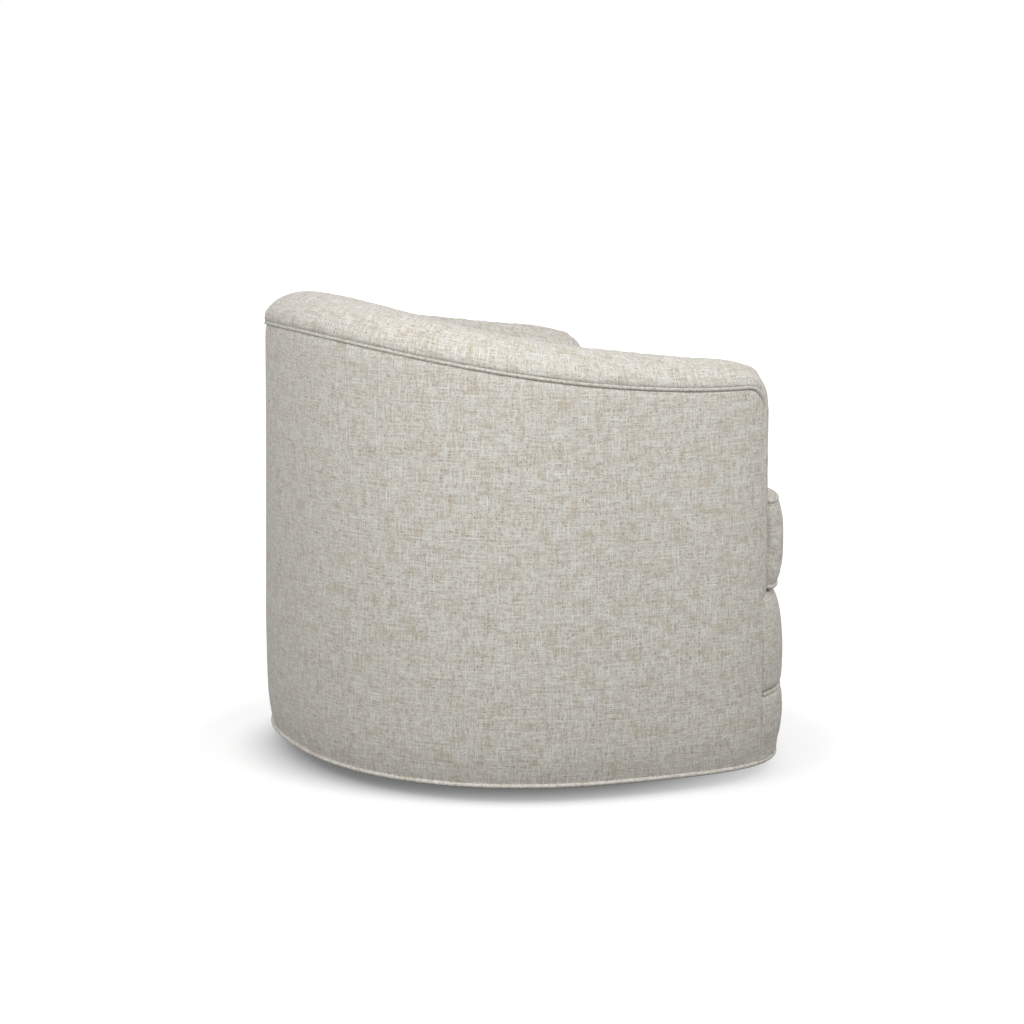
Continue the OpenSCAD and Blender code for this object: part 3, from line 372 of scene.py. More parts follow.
half_width, rear_depth, front_depth = 0.420, 0.383, 0.319
rear_power, front_power = 2.33, 3.47
widest_y = (front_depth - rear_depth) / 2
arm_thickness, back_thickness, arm_toe_in = 0.135, 0.150, 0.033
arm_reach, corner_radius = 0.213, 0.035
back_height, arm_height = 0.657, 0.583
welt_radius = 0.0035
inner_half_width, inner_rear = half_width - arm_thickness, rear_depth - back_thickness


def squared_r(phi, a, b, power):
    """Radius of a rounded square outline at an angle."""
    c, s = np.abs(np.cos(phi)), np.abs(np.sin(phi))
    return ((c / a) ** power + (s / b) ** power) ** (-1 / power)


def side_x(ahead):
    """Half width of the front half of the plan, at a distance forward."""
    return half_width * (1 - (ahead / front_depth) ** front_power) ** (1 / front_power)


def inner_x(ahead):
    """Half width between the arms, at a distance forward."""
    return inner_half_width - arm_toe_in * np.minimum(1, ahead / arm_reach) ** 2


climb_start = arm_reach * 0.8
seam_step, cloth_step, step_growth = 0.0015, 0.008, 1.35 ** np.arange(10)
corner_y = corner_radius - arm_reach


def welt_line(y):
    """Height of the welt, which climbs from the arms to the back."""
    climb = np.clip((y + climb_start) / (rear_depth + climb_start), 0, None)
    return arm_height + (back_height - arm_height) * climb ** 2


def edge_z(y, out):
    """Height of an edge beside the welt, which turns down at the arm fronts."""
    bend = np.sqrt(np.clip((corner_radius + out) ** 2 - (y - corner_y) ** 2, 0, None))
    turned = welt_line(corner_y) - corner_radius + bend
    return np.where(y >= corner_y, welt_line(y) + out, turned)


def marks(length, fine, step):
    """Places along a length, closer together near its two ends."""
    ramp_up = fine * np.cumsum(np.minimum(step / fine, step_growth))
    ramp_up = np.concatenate([[0], ramp_up])
    middle = np.linspace(ramp_up[-1], length - ramp_up[-1],
                         max(2, round((length - 2 * ramp_up[-1]) / step)))
    return np.concatenate([ramp_up[:-1], middle, length - ramp_up[-2::-1]])


def run_along(line):
    """Distance along a line of points to each of them."""
    return np.concatenate([[0], np.cumsum(np.linalg.norm(np.diff(line, axis=0), axis=1))])


def taken(line, run, at):
    """The rows of a line at these distances along it."""
    return np.stack([np.interp(at, run, column) for column in line.T], 1)


def polar(phi, r):
    """Points in plan at angles and distances from the middle."""
    return np.stack([r * np.cos(phi), r * np.sin(phi)], 1)


def barrel(front):
    """Stations from the right arm front round the back to the left one: outer
    point, way in, thickness, and place along the barrel."""
    ahead = np.linspace(front, 0, 80)[:-1]
    phi = np.linspace(0, math.pi, 720)
    outer = squared_r(phi, half_width, rear_depth, rear_power)
    inner = squared_r(phi, inner_half_width, inner_rear, rear_power)
    right = np.stack([side_x(ahead), -ahead, -np.ones_like(ahead), np.zeros_like(ahead),
                      side_x(ahead) - inner_x(ahead)], 1)
    back = np.column_stack([polar(phi, outer), -np.cos(phi), -np.sin(phi), outer - inner])
    left = right[::-1] * (-1, 1, -1, 1, 1)
    line = np.concatenate([right, back, left])
    run = run_along(line[:, :2])
    at = marks(run[-1], seam_step, cloth_step)
    return np.column_stack([taken(line, run, at), at])


def raise_points(stations, inward, z):
    """Points from distances in and heights, a row for each station."""
    x = stations[:, 0, None] + stations[:, 2, None] * inward
    y = stations[:, 1, None] + stations[:, 3, None] * inward + widest_y
    return np.stack([x, y, np.broadcast_to(z, x.shape)], 2)


def facing(points):
    """Outward way at each point of a grid."""
    normal = np.cross(np.gradient(points, axis=0), np.gradient(points, axis=1))
    return normal / np.maximum(np.linalg.norm(normal, axis=2, keepdims=True), 1e-9)


def lengths(points, axis):
    """Distance run along a grid to each of its points."""
    run = np.cumsum(np.linalg.norm(np.diff(points, axis=axis), axis=2), axis=axis)
    return np.concatenate([np.zeros_like(np.take(run, [0], axis)), run], axis)


def tuck(points, width, depth, last=True, axis=0, allowance=0.010):
    """Rounds a grid's edges down into their seams, and turns in the allowance that
    is sewn behind them."""
    run = lengths(points, axis)
    end = np.take(run, [-1], axis)
    down = np.zeros_like(run)
    for near in (run, end - run) if last else (run,):
        share = np.clip(1 - near / width, 0, 1)
        down = np.maximum(down, depth * (1 - np.sqrt(1 - share ** 2)))
        down = np.where(near == 0, depth + allowance, down)
    return points - facing(points) * down[..., None]


pucker_spacing, pucker_reach, pucker_start = 0.034, 0.022, 0.004


def ripple(points, along, from_seam, height, seed=0.0):
    """Lifts a grid a little in soft puckers beside a seam."""
    wave = np.array([noise.noise(Vector((a / pucker_spacing, seed, 0.0))) for a in along])
    fade = np.exp(-from_seam / pucker_reach) * (1 - np.exp(-from_seam / pucker_start))
    lift = height * wave[:, None] * fade
    return points + facing(points) * lift[..., None]


def cloth_piece(name, points, material, uv_row=0, closed=False):
    """A grid of cloth laid over points, with its thread coordinates in metres."""
    columns, rows = points.shape[0] - 1, points.shape[1] - 1
    mesh = bmesh.new()
    uv = mesh.loops.layers.uv.new("weave")
    bmesh.ops.create_grid(mesh, x_segments=columns, y_segments=rows, size=0.5)
    spots = {}
    for v in mesh.verts:
        i, j = round((v.co.x + 0.5) * columns), round((v.co.y + 0.5) * rows)
        spots[v] = (i, j)
    across, up = lengths(points, 0)[:, uv_row], lengths(points, 1)
    for face in mesh.faces:
        for loop in face.loops:
            i, j = spots[loop.vert]
            loop[uv].uv = (across[i], up[i, j])
    for v, (i, j) in spots.items():
        v.co = points[i, j]
    if closed:
        bmesh.ops.remove_doubles(mesh, verts=mesh.verts, dist=1e-6)
    return piece_from(name, mesh, material)


def piece_from(name, mesh, material):
    """Puts a finished bmesh into the scene."""
    data = bpy.data.meshes.new(name)
    mesh.to_mesh(data)
    mesh.free()
    data.shade_smooth()
    data.materials.append(material)
    piece = bpy.data.objects.new(name, data)
    bpy.context.scene.collection.objects.link(piece)
    return piece


def lined(piece, thickness):
    """Gives a sheet its thickness, inwards."""
    solid = piece.modifiers.new("thickness", "SOLIDIFY")
    solid.thickness, solid.offset = thickness, -1.0
    return piece


def fit(piece, body, slot, *stands_for):
    """Ties a piece to the body that it moves with, and hides the solids that it stands for. Its
    finish, slot, is not used.
    """
    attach(piece, body)
    if stands_for:
        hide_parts(*stands_for)
    return piece


hem_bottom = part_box("outside_panel")[0].z
face_foot = hem_bottom + 0.0014
panel_reach = arm_reach + 0.0010
panel_cloth, panel_pucker, middle_row = 0.004, 0.0009, 40
# Share of the height up the panel, and how far its wadding swells it
panel_swell = [(0.0, -0.0070), (0.010, -0.0046), (0.025, -0.0026), (0.045, -0.0008),
               (0.08, 0.0016), (0.15, 0.0030), (0.26, 0.0037), (0.38, 0.0028), (0.5, 0.0019),
               (0.61, 0.0011), (0.72, 0.0003), (0.84, -0.0003), (0.93, -0.0005), (0.972, -0.0008),
               (0.985, -0.0013), (0.992, -0.0022), (0.997, -0.0038), (1.0, -0.0062)]
panel_stations = barrel(panel_reach)
panel_rows = marks(1.0, fine=0.002, step=0.0125)
panel_top = edge_z(panel_stations[:, 1], -welt_radius * 0.4)
swell = np.interp(panel_rows, *np.array(panel_swell).T)
lip = np.array([0.022, 0.016, 0.011])
lip_fall = 0.02
face_z = face_foot + (panel_top[:, None] - face_foot) * panel_rows
turned_under = np.broadcast_to(face_foot - lip * lip_fall, (len(panel_stations), len(lip)))
panel_z = np.concatenate([turned_under, face_z], 1)
panel_in = np.broadcast_to(np.concatenate([lip, -swell]), panel_z.shape)
panel_points = tuck(raise_points(panel_stations, panel_in, panel_z), width=0.0048, depth=0.0042)
from_top = panel_top[:, None] - panel_points[..., 2]
panel_points = ripple(panel_points, panel_stations[:, 5], np.maximum(from_top, 0), panel_pucker)
outside = lined(cloth_piece("outside_linen", panel_points, linen, middle_row), panel_cloth)
fit(outside, "shell", "linen", "outside_panel")

# Inside cover
# The linen of the arms and back is one long piece over foam. It starts at the
# welt, rolls over the top, and runs down the inside to the seat deck.

roll_rise, roll_rise_front = 0.047, 0.034
crest_in, inner_drop = 0.062, 0.095
arm_swell, nose_length, nose_drop, nose_power = 0.017, 0.088, 0.039, 2.2
rise_start, rise_power = 0.020, 1.3
fuller_from, fuller_over = 0.150, 0.056
out_power, out_fuller, up_power, up_fuller = 1.12, 0.12, 0.94, 0.06
belly_depth, belly_foot = 0.002, 0.40
mitre_depth, mitre_power = 0.007, 1.5
deck_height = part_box("seat_deck")[1].z
cover_reach = arm_reach - welt_radius - 0.0033
cover_foot = deck_height - 0.006


def crest_z(y):
    """Height of the top of the roll, which bends down over the nose of the arm."""
    share = np.clip((rise_start - y) / (arm_reach - welt_radius), 0, 1)
    rise = roll_rise - (roll_rise - roll_rise_front) * share ** rise_power
    gone = np.clip((nose_length - arm_reach - arm_swell - y) / nose_length, 0, 1)
    return welt_line(y) + rise - nose_drop * (1 - (1 - gone ** nose_power) ** (1 / nose_power))


def roll_profile(y, thickness, foot, set_in, counts, crest=None):
    """Distances in and heights from the welt over the roll to the foot."""
    edge = edge_z(y, welt_radius * 0.38)[:, None]
    crest = (crest_z(y) - set_in if crest is None else crest)[:, None]
    middle = np.minimum(crest_in, thickness * 0.5)[:, None]
    thickness = thickness[:, None] - set_in
    rise = np.linspace(0, quarter, counts[0])
    fall = np.linspace(0, quarter, counts[1])[1:]
    down = np.linspace(0, 1, counts[2])[1:]
    shown = set_in - 0.0003
    full = np.clip((-y - fuller_from) / fuller_over, 0, 1)[:, None]
    out_in = shown + (middle - shown) * (1 - np.cos(rise) ** (out_power - out_fuller * full))
    out_z = edge + (crest - edge) * np.sin(rise) ** (up_power - up_fuller * full)
    over_in = middle + (thickness - middle) * np.sin(fall)
    over_z = crest - inner_drop + inner_drop * np.cos(fall)
    low = crest - inner_drop
    face_z = low + (foot - low) * down
    above = np.clip((face_z - belly_foot) / (low - belly_foot), 0, 1)
    belly = belly_depth * np.sin(math.pi * above) ** 2
    return (np.concatenate([out_in, over_in, thickness + belly], 1),
            np.concatenate([out_z, over_z, face_z], 1))


def mitre(counts):
    """How far forward the front seam stands at each row of the roll. It leaves the
    welt at its corner and runs forward over the roll."""
    up = np.sin(np.linspace(0, quarter, counts[0])) ** mitre_power
    over = 0.5 + 0.5 * np.cos(np.linspace(0, math.pi, counts[1])[1:])
    return mitre_depth * np.concatenate([up, over, np.zeros(counts[2] - 1)])


cover_stations = barrel(cover_reach)
cover_counts = (14, 20, 34)
cover_points = raise_points(cover_stations, *roll_profile(
    cover_stations[:, 1], cover_stations[:, 4], cover_foot, 0.0, cover_counts))
mitre_fade = 0.06
near_front = np.clip(1 - (cover_reach + cover_stations[:, 1]) / mitre_fade, 0, 1) ** 2
cover_points[..., 1] -= near_front[:, None] * mitre(cover_counts)
cover_points = tuck(cover_points, width=0.0040, depth=0.0040)
cover_points = tuck(cover_points, width=0.002, depth=0.0006, last=False, axis=1, allowance=0.0)


def read(items, what, width=3, kind=np.float32):
    """A value of each vertex, corner or face of a mesh, a row for each."""
    values = np.empty(len(items) * width, kind)
    items.foreach_get(what, values)
    return values.reshape(-1, width)


def move(mesh, points):
    """Puts a mesh's vertices at these points."""
    mesh.vertices.foreach_set("co", points.ravel())
    mesh.update()


cloth_weight, stretch_stiffness, shear_stiffness, bending_stiffness = 0.25, 12.0, 4.8, 0.6
settling_frames = 20


def settle(piece, hold, pressure, most, spare):
    """Lets the cloth of a pad find its shape over its filling, held at its seams. It
    is cut spare, a share larger, and no point moves further than most."""
    mesh = piece.data
    before = read(mesh.vertices, "co")
    held = piece.vertex_groups.new(name="held")
    for k, weight in enumerate(hold):
        held.add([k], float(weight), "REPLACE")
    cloth = piece.modifiers.new("cloth", "CLOTH")
    settings = cloth.settings
    settings.quality, settings.mass = 6, cloth_weight
    settings.tension_stiffness = settings.compression_stiffness = stretch_stiffness
    settings.shear_stiffness, settings.bending_stiffness = shear_stiffness, bending_stiffness
    settings.use_pressure, settings.uniform_pressure_force = True, pressure
    settings.effector_weights.gravity = 0.0
    settings.vertex_group_mass, settings.pin_stiffness = "held", 1.0
    settings.shrink_min = -spare
    cloth.collision_settings.use_collision = False
    cloth.point_cache.frame_start, cloth.point_cache.frame_end = 1, settling_frames
    scene = bpy.context.scene
    for moment in range(1, settling_frames + 1):
        scene.frame_set(moment)
    shaped = piece.evaluated_get(bpy.context.evaluated_depsgraph_get()).data
    moved = read(shaped.vertices, "co") - before
    far = np.linalg.norm(moved, axis=1, keepdims=True)
    moved *= np.minimum(1, most / np.maximum(far, 1e-9))
    piece.modifiers.remove(cloth)
    piece.vertex_groups.clear()
    scene.frame_set(1)
    move(mesh, before + moved)


edge_fast = 0.002


def hold_grid(points, reach, firm):
    """How firmly each point of a grid is held: fast at its edges, and by foam
    elsewhere. The order is that of the grid's mesh."""
    near = np.inf
    for axis in (0, 1):
        run = lengths(points, axis)
        near = np.minimum(near, np.minimum(run, np.take(run, [-1], axis) - run))
    weight = firm + (1 - firm) * np.clip(1 - (near - edge_fast) / reach, 0, 1) ** 2
    return weight.T.ravel()


def eased(piece, times):
    """Smooths out the small lumps that a cloth run leaves."""
    mesh = bmesh.new()
    mesh.from_mesh(piece.data)
    free = [v for v in mesh.verts if not v.is_boundary]
    for _ in range(times):
        bmesh.ops.smooth_vert(mesh, verts=free, factor=0.5, use_axis_x=True, use_axis_y=True,
                              use_axis_z=True)
    mesh.to_mesh(piece.data)
    mesh.free()
    return piece


def softened(piece):
    """Rounds a form's faces with one level of subdivision."""
    smooth = piece.modifiers.new("smooth", "SUBSURF")
    smooth.levels = smooth.render_levels = 1
    return piece


cover_cloth = 0.003
inside = cloth_piece("inside_linen", cover_points, linen, uv_row=cover_counts[0] - 1)
# The roll may swell freely, and the face beside the cushion hardly at all
cover_room = np.interp(np.arange(cover_points.shape[1]), (20, 34), (0.006, 0.0010))
cover_room = np.broadcast_to(cover_room, cover_points.shape[:2]).T.reshape(-1, 1)
settle(inside, hold_grid(cover_points, reach=0.010, firm=0.25), pressure=3.0, most=cover_room,
       spare=0.012)
lined(inside, cover_cloth)
fit(inside, "shell", "linen", "inside_cover")

# Arm fronts
# A shaped pad closes the front of each arm. It is sewn to the roll along a
# plain seam, and its outer edge goes under the welt.

pad_start = cover_reach + 0.0003
pad_foot = deck_height + 0.0004
pad_counts, pad_foot_rows, pad_voxel = (12, 16, 20), 13, 0.0042
pad_hold_start, pad_hold_fade, pad_hold_least = 0.006, 0.012, 0.12
thread_slant = 0.3
# Share of the pad's depth, and how far the ring there is drawn in
pad_rings = [(-0.36, 0.0040), (-0.12, 0.0036), (0.0, 0.0030), (0.04, 0.0017), (0.1, 0.0005),
             (0.2, 0.0), (0.45, 0.0012), (0.65, 0.005), (0.8, 0.0105), (0.92, 0.0185),
             (0.98, 0.026), (1.0, 0.034)]


def bridged(rings, name, material):
    """A closed form through rings of points, with filled ends."""
    mesh = bmesh.new()
    loops = []
    for ring in rings:
        corners = [mesh.verts.new(p) for p in ring]
        loops.append([mesh.edges.new((a, b)) for a, b in zip(corners, corners[1:] + corners[:1])])
    for one, two in zip(loops, loops[1:]):
        bmesh.ops.bridge_loops(mesh, edges=one + two)
    for end in (loops[0], loops[-1]):
        bmesh.ops.contextual_create(mesh, geom=end)
    bmesh.ops.recalc_face_normals(mesh, faces=mesh.faces)
    return piece_from(name, mesh, material)


def remeshed(piece, voxel):
    """Even quads all over a form."""
    remesh = piece.modifiers.new("even", "REMESH")
    remesh.mode, remesh.voxel_size = "VOXEL", voxel
    remesh.use_smooth_shade = True
    shaped = piece.evaluated_get(bpy.context.evaluated_depsgraph_get())
    even = bpy.data.meshes.new_from_object(shaped)
    even.materials.clear()
    even.materials.append(piece.data.materials[0])
    piece.modifiers.remove(remesh)
    piece.data = even
    return piece


def lay_threads(piece, cut):
    """Writes thread coordinates from each corner's place, and its face's way and
    middle."""
    mesh = piece.data
    index = read(mesh.loops, "vertex_index", 1, np.int32)[:, 0]
    corners = read(mesh.polygons, "loop_total", 1, np.int32)[:, 0]
    owner = np.repeat(np.arange(len(corners)), corners)
    flat = cut(read(mesh.vertices, "co")[index], read(mesh.polygons, "normal")[owner],
               read(mesh.polygons, "center")[owner])
    layer = mesh.uv_layers.get("weave") or mesh.uv_layers.new(name="weave")
    layer.data.foreach_set("uv", np.asarray(flat, np.float32).ravel())


def arm_front(name, side, stands_for):
    """The pad of one arm front, in linen threads that run aslant at its sides."""
    depth = arm_reach + arm_swell - pad_start
    seam_ahead = np.concatenate([np.zeros(pad_foot_rows), mitre(pad_counts)])
    rings = []
    for share, inset in pad_rings:
        ahead = pad_start + depth * share
        y = np.array([-min(ahead, arm_reach + welt_radius)])
        thickness = side_x(-y) - inner_x(-y)
        crest = crest_z(np.array([-ahead])) - inset * (share < 0.2)
        inward, z = roll_profile(y, thickness, pad_foot, inset, pad_counts, crest)
        z = np.maximum(z, pad_foot)
        outer_z = np.linspace(pad_foot, z[0, 0], pad_foot_rows + 1)[:-1]
        inward = np.concatenate([np.full(pad_foot_rows, inset + 0.0005), inward[0]])
        z = np.concatenate([outer_z, z[0]])
        shift = seam_ahead * (1 - max(share, 0.0)) ** 2
        rings.append([(side * (side_x(-y[0]) - d), widest_y - ahead - f, h)
                      for d, f, h in zip(inward, shift, z)])
    pad = remeshed(bridged(rings, name, linen), pad_voxel)
    y = read(pad.data.vertices, "co")[:, 1]
    front = widest_y - pad_start
    hold = 1 - (front - pad_hold_start - y) / pad_hold_fade
    settle(pad, np.clip(hold, pad_hold_least, 1), pressure=3.5, most=0.005, spare=0.01)
    centre = side * (half_width - arm_thickness / 2)

    def cut(co, normal, middle):
        away = co[:, 1] - (front - depth)
        way = np.sign(co[:, 0] - centre)
        return np.stack([co[:, 0] + way * away, co[:, 2] + thread_slant * away], 1)

    lay_threads(eased(pad, times=6), cut)
    softened(pad)
    fit(pad, "shell", "linen", stands_for)


arm_front("arm_front_linen_right", 1, "arm_front_right")
arm_front("arm_front_linen_left", -1, "arm_front_left")

# Foam of the arms and back
# Upholstery foam is glued over the webbing and the rims, and rolls over the top.
# It has a cut foot behind the seat deck.

foam_cream = mottled_finish("foam_cream", paint(236, 226, 190), paint(222, 208, 164), size=0.0012,
                            rough=(0.9, 1.0), relief=0.0005, Specular_IOR_Level=0.1)
foam_back, over_rim, under_linen, rim_under_welt = 0.0421, 0.0105, 0.0038, 0.0208
foam_reach, foam_counts, foam_voxel = 0.1856, (8, 12, 16), 0.008
foam_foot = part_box("inside_foam")[0].z
foam_stations = barrel(foam_reach)
foam_inward, foam_z = roll_profile(foam_stations[:, 1], foam_stations[:, 4], foam_foot,
                                   under_linen, foam_counts)
rim_top = edge_z(foam_stations[:, 1], 0.0)[:, None] - rim_under_welt
notch_in = np.broadcast_to((foam_back, foam_back, over_rim), (len(foam_stations), 3))
notch_z = np.concatenate([np.full_like(rim_top, foam_foot), rim_top, rim_top], 1)
foam_points = raise_points(foam_stations, np.concatenate([foam_inward, notch_in], 1),
                           np.concatenate([foam_z, notch_z], 1))
arm_foam = remeshed(bridged(foam_points, "arm_and_back_foam", foam_cream), foam_voxel)
fit(arm_foam, "shell", "foam", "inside_foam")

# Front rail and front band
# Under the cushion a padded rail runs from arm to arm, and a plainer band
# below it goes down to the hem. Both tuck in at the arms under a plain seam.

front_reach, front_step, front_cloth = arm_reach - 0.0012, 0.006, 0.003


def middle_z(name):
    """Height of the middle of a node."""
    low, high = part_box(name)
    return (low.z + high.z) / 2


def front_stations():
    """Places across the front from the left to the right, with the ways in."""
    end = math.atan2(front_reach, side_x(front_reach))
    phi = np.linspace(end - math.pi, -end, 1200)
    line = polar(phi, squared_r(phi, half_width, front_depth, front_power))
    run = run_along(line)
    at = marks(run[-1], seam_step, front_step)
    line = taken(line, run, at)
    out = np.sign(line) * np.abs(line / (half_width, front_depth)) ** (front_power - 1)
    out = out / (half_width, front_depth)
    out = out / np.linalg.norm(out, axis=1, keepdims=True)
    return np.column_stack([line, -out, np.zeros_like(at), at])


front_line = front_stations()
rail_welt_height = middle_z("rail_welt")
under_welt = welt_radius * 0.3
# Height above the rail's welt, and how far out of the plan
rail_face = [(0.0012, -0.0060), (0.0030, -0.0012), (0.006, 0.0012), (0.012, 0.0030),
             (0.022, 0.0038), (0.035, 0.0042), (0.048, 0.0044), (0.057, 0.0043), (0.068, 0.0040),
             (0.080, 0.0031), (0.092, 0.0022), (0.103, 0.0008), (0.114, -0.0010), (0.125, -0.0037),
             (0.133, -0.0066), (0.1385, -0.0098), (0.1425, -0.0145), (0.1440, -0.0195),
             (0.1440, -0.0290), (0.1435, -0.0400), (0.1430, -0.0500), (0.1425, -0.0580)]


def across_front(name, face, base, stands_for, pressure, seed):
    """A padded length from arm to arm, with this face over its base."""
    face = np.array(face)
    rows = np.linspace(0, 1, 4 * len(face) - 3)
    spots = np.linspace(0, 1, len(face))
    height, out = (np.interp(rows, spots, face[:, k]) for k in (0, 1))
    room = (-front_line[:, 1] - pad_start) / np.maximum(front_line[:, 3], 0.1)
    depth = np.minimum(-out, room[:, None])
    points = raise_points(front_line, depth, np.broadcast_to(base + height, depth.shape))
    points = tuck(points, width=0.004, depth=0.0034)
    points = ripple(points, front_line[:, 5], np.broadcast_to(height, depth.shape),
                    height=0.0012, seed=seed)
    piece = cloth_piece(name, points, linen)
    settle(piece, hold_grid(points, reach=0.008, firm=0.2), pressure, most=0.005, spare=0.012)
    lined(piece, front_cloth)
    fit(piece, "shell", "linen", stands_for)


across_front("front_rail_linen", rail_face, rail_welt_height + under_welt, "front_rail_pad",
             pressure=3.0, seed=3.0)
band_top = rail_welt_height - under_welt - hem_bottom
# Height above the hem, and how far out of the plan
band_face = [(0.0010, -0.0220), (0.0006, -0.0150), (0.0, -0.0080), (0.0, -0.0050),
             (0.0035, -0.0036), (0.012, -0.0028), (0.021, -0.0017), (0.032, 0.0006),
             (0.044, 0.0029), (0.056, 0.0038), (0.067, 0.0041), (0.078, 0.0038), (0.088, 0.0032),
             (0.094, 0.0022), (band_top - 0.003, 0.0006), (band_top - 0.001, -0.0030),
             (band_top, -0.0070)]
across_front("front_band_linen", band_face, hem_bottom, "front_band", pressure=2.0,
             seed=7.0)

# Welts
# Every edge is finished with cord in a sleeve of the same linen, cut on the
# bias, so that its threads run slantwise round it.

cord_radius, cord_sides, cord_step = 0.0032, 12, 0.0035
cord_lump, lump_length = 0.035, 0.009
cord_wobble, wobble_length = 0.0003, 0.03


def welt(name, line, outward, stands_for, body="shell", closed=False):
    """A cord along a line of points; outward is the way that its face looks."""
    line, outward = np.asarray(line), np.asarray(outward)
    if closed:
        ahead, behind = np.roll(line, -1, axis=0), np.roll(line, 1, axis=0)
        along = ahead - behind
    else:
        along = np.gradient(line, axis=0)
    along /= np.linalg.norm(along, axis=1, keepdims=True)
    outward = outward - along * np.sum(outward * along, 1, keepdims=True)
    outward /= np.linalg.norm(outward, axis=1, keepdims=True)
    upward = np.cross(outward, along)
    run = run_along(line)
    uneven = np.array([1 + cord_lump * noise.noise(Vector((r / lump_length, 2.0, 0.0)))
                       for r in run])
    wobble = np.array([cord_wobble * noise.noise(Vector((r / wobble_length, 5.0, 0.0)))
                       for r in run])
    line = line + upward * wobble[:, None]
    if closed:
        line, outward, upward, uneven = (np.concatenate([a, a[:1]]) for a in
                                         (line, outward, upward, uneven))
    turn = np.linspace(0, 2 * math.pi, cord_sides + 1)
    spoke = (np.cos(turn)[None, :, None] * outward[:, None] + np.sin(turn)[None, :, None]
             * upward[:, None])
    points = line[:, None] + spoke * (cord_radius * uneven)[:, None, None]
    cord = cloth_piece(name, points, bias_linen, closed=True)
    if not closed:
        ends = bmesh.new()
        ends.from_mesh(cord.data)
        bmesh.ops.holes_fill(ends, edges=[e for e in ends.edges if e.is_boundary])
        ends.to_mesh(cord.data)
        ends.free()
    fit(cord, body, "linen", stands_for)


def plan_line(phi, out):
    """Points of the welt line at angles about the widest line, and its way out."""
    rear = np.sin(phi) >= 0
    depth = np.where(rear, rear_depth, front_depth)
    power = np.where(rear, rear_power, front_power)
    p = polar(phi, squared_r(phi, half_width, depth, power))
    size = np.stack([np.full(len(phi), half_width), depth], 1)
    way = np.sign(p) * np.abs(p / size) ** (power[:, None] - 1) / size
    way /= np.linalg.norm(way, axis=1, keepdims=True)
    return p + way * out, way


def spaced(line, step, *others):
    """The same line with its points evenly spaced, and what goes with them."""
    run = run_along(line)
    at = np.linspace(0, run[-1], round(run[-1] / step) + 1)
    return [taken(a, run, at) for a in (line, *others)]


def at_height(flat, z):
    """Points of the plan at a height, or each at its own."""
    return np.column_stack([flat + (0, widest_y), np.broadcast_to(z, len(flat))])


def flat_way(way):
    """Level ways out, from those in plan."""
    return np.column_stack([way, np.zeros(len(way))])


welt_in, welt_foot, side_angle = 0.0025, deck_height + 0.002, 0.02
corner_foot = welt_line(corner_y) - corner_radius
rise_z = np.linspace(welt_foot, corner_foot, 60)
bend = np.linspace(0, quarter, 24)[1:]
along_arm = np.linspace(corner_y, 0, 30)[1:-1]
arm_y = np.concatenate([np.full_like(rise_z, -arm_reach),
                        corner_y - corner_radius * np.cos(bend), along_arm])
arm_z = np.concatenate([rise_z, corner_foot + corner_radius * np.sin(bend), welt_line(along_arm)])
arm_line = np.stack([side_x(-arm_y) - welt_in, arm_y + widest_y, arm_z], 1)
round_phi = np.linspace(side_angle, math.pi - side_angle, 300)
round_back, round_way = plan_line(round_phi, -welt_in)
back_line = at_height(round_back, welt_line(round_back[:, 1]))
top_line = np.concatenate([arm_line, back_line, arm_line[::-1] * (-1, 1, 1)])
right_way = np.tile((1.0, 0.0, 0.0), (len(arm_line), 1))
top_way = np.concatenate([right_way, flat_way(round_way), -right_way])
welt("top_cord", *spaced(top_line, cord_step, top_way), "top_welt")

hem_in = 0.0056
hem_height = middle_z("hem_welt") + 0.0032
hem_flat, hem_way = plan_line(np.linspace(0, 2 * math.pi, 640)[:-1], -hem_in)
welt("hem_cord", at_height(hem_flat, hem_height), flat_way(hem_way), "hem_welt", closed=True)

rail_angle = math.atan2(arm_reach + welt_radius, side_x(arm_reach + welt_radius))
rail_flat, rail_way = plan_line(np.linspace(-rail_angle, rail_angle - math.pi, 240), -welt_in / 2)
rail_line = at_height(rail_flat, rail_welt_height)
welt("rail_cord", *spaced(rail_line, cord_step, flat_way(rail_way)), "rail_welt")

# Cushion cover
# The loose seat cushion is a box cover with a crowned top, of the same linen. Its
# front corners reach out before the arms, and its boxing swells between the welts.

seat_gap, ear_round, front_set = 0.0045, 0.014, 0.004
ear_ahead = arm_reach + arm_swell + seat_gap
outline_step, cushion_voxel, core_voxel, core_inset = 0.0035, 0.0055, 0.010, 0.007
crown, crown_reach, crown_power, welt_bed = 0.040, 0.190, 2.2, 0.006
foot_sink, sink_reach = 0.0088, 0.04
side_swell, front_swell, swell_start, front_fade = 0.0015, 0.0050, 0.004, 0.02
zip_stretch, face_share, face_up = 0.19, 0.03, 0.45
cushion_foot, cushion_top = middle_z("cushion_bottom_welt"), middle_z("cushion_top_welt")


def both_sides(half, step, soft=0.004):
    """A half outline from the back to the front and its mirror image, evenly
    spaced and eased at its corners, with the way out at each point."""
    line = np.concatenate([half, half[::-1] * (-1, 1)])
    line = spaced(np.concatenate([line, line[:1]]), step)[0][:-1]
    reach = max(1, round(soft / step))
    line = sum(np.roll(line, k, axis=0) for k in range(-reach, reach + 1)) / (2 * reach + 1)
    along = np.roll(line, -1, axis=0) - np.roll(line, 1, axis=0)
    along /= np.linalg.norm(along, axis=1, keepdims=True)
    return line, np.stack([-along[:, 1], along[:, 0]], 1)


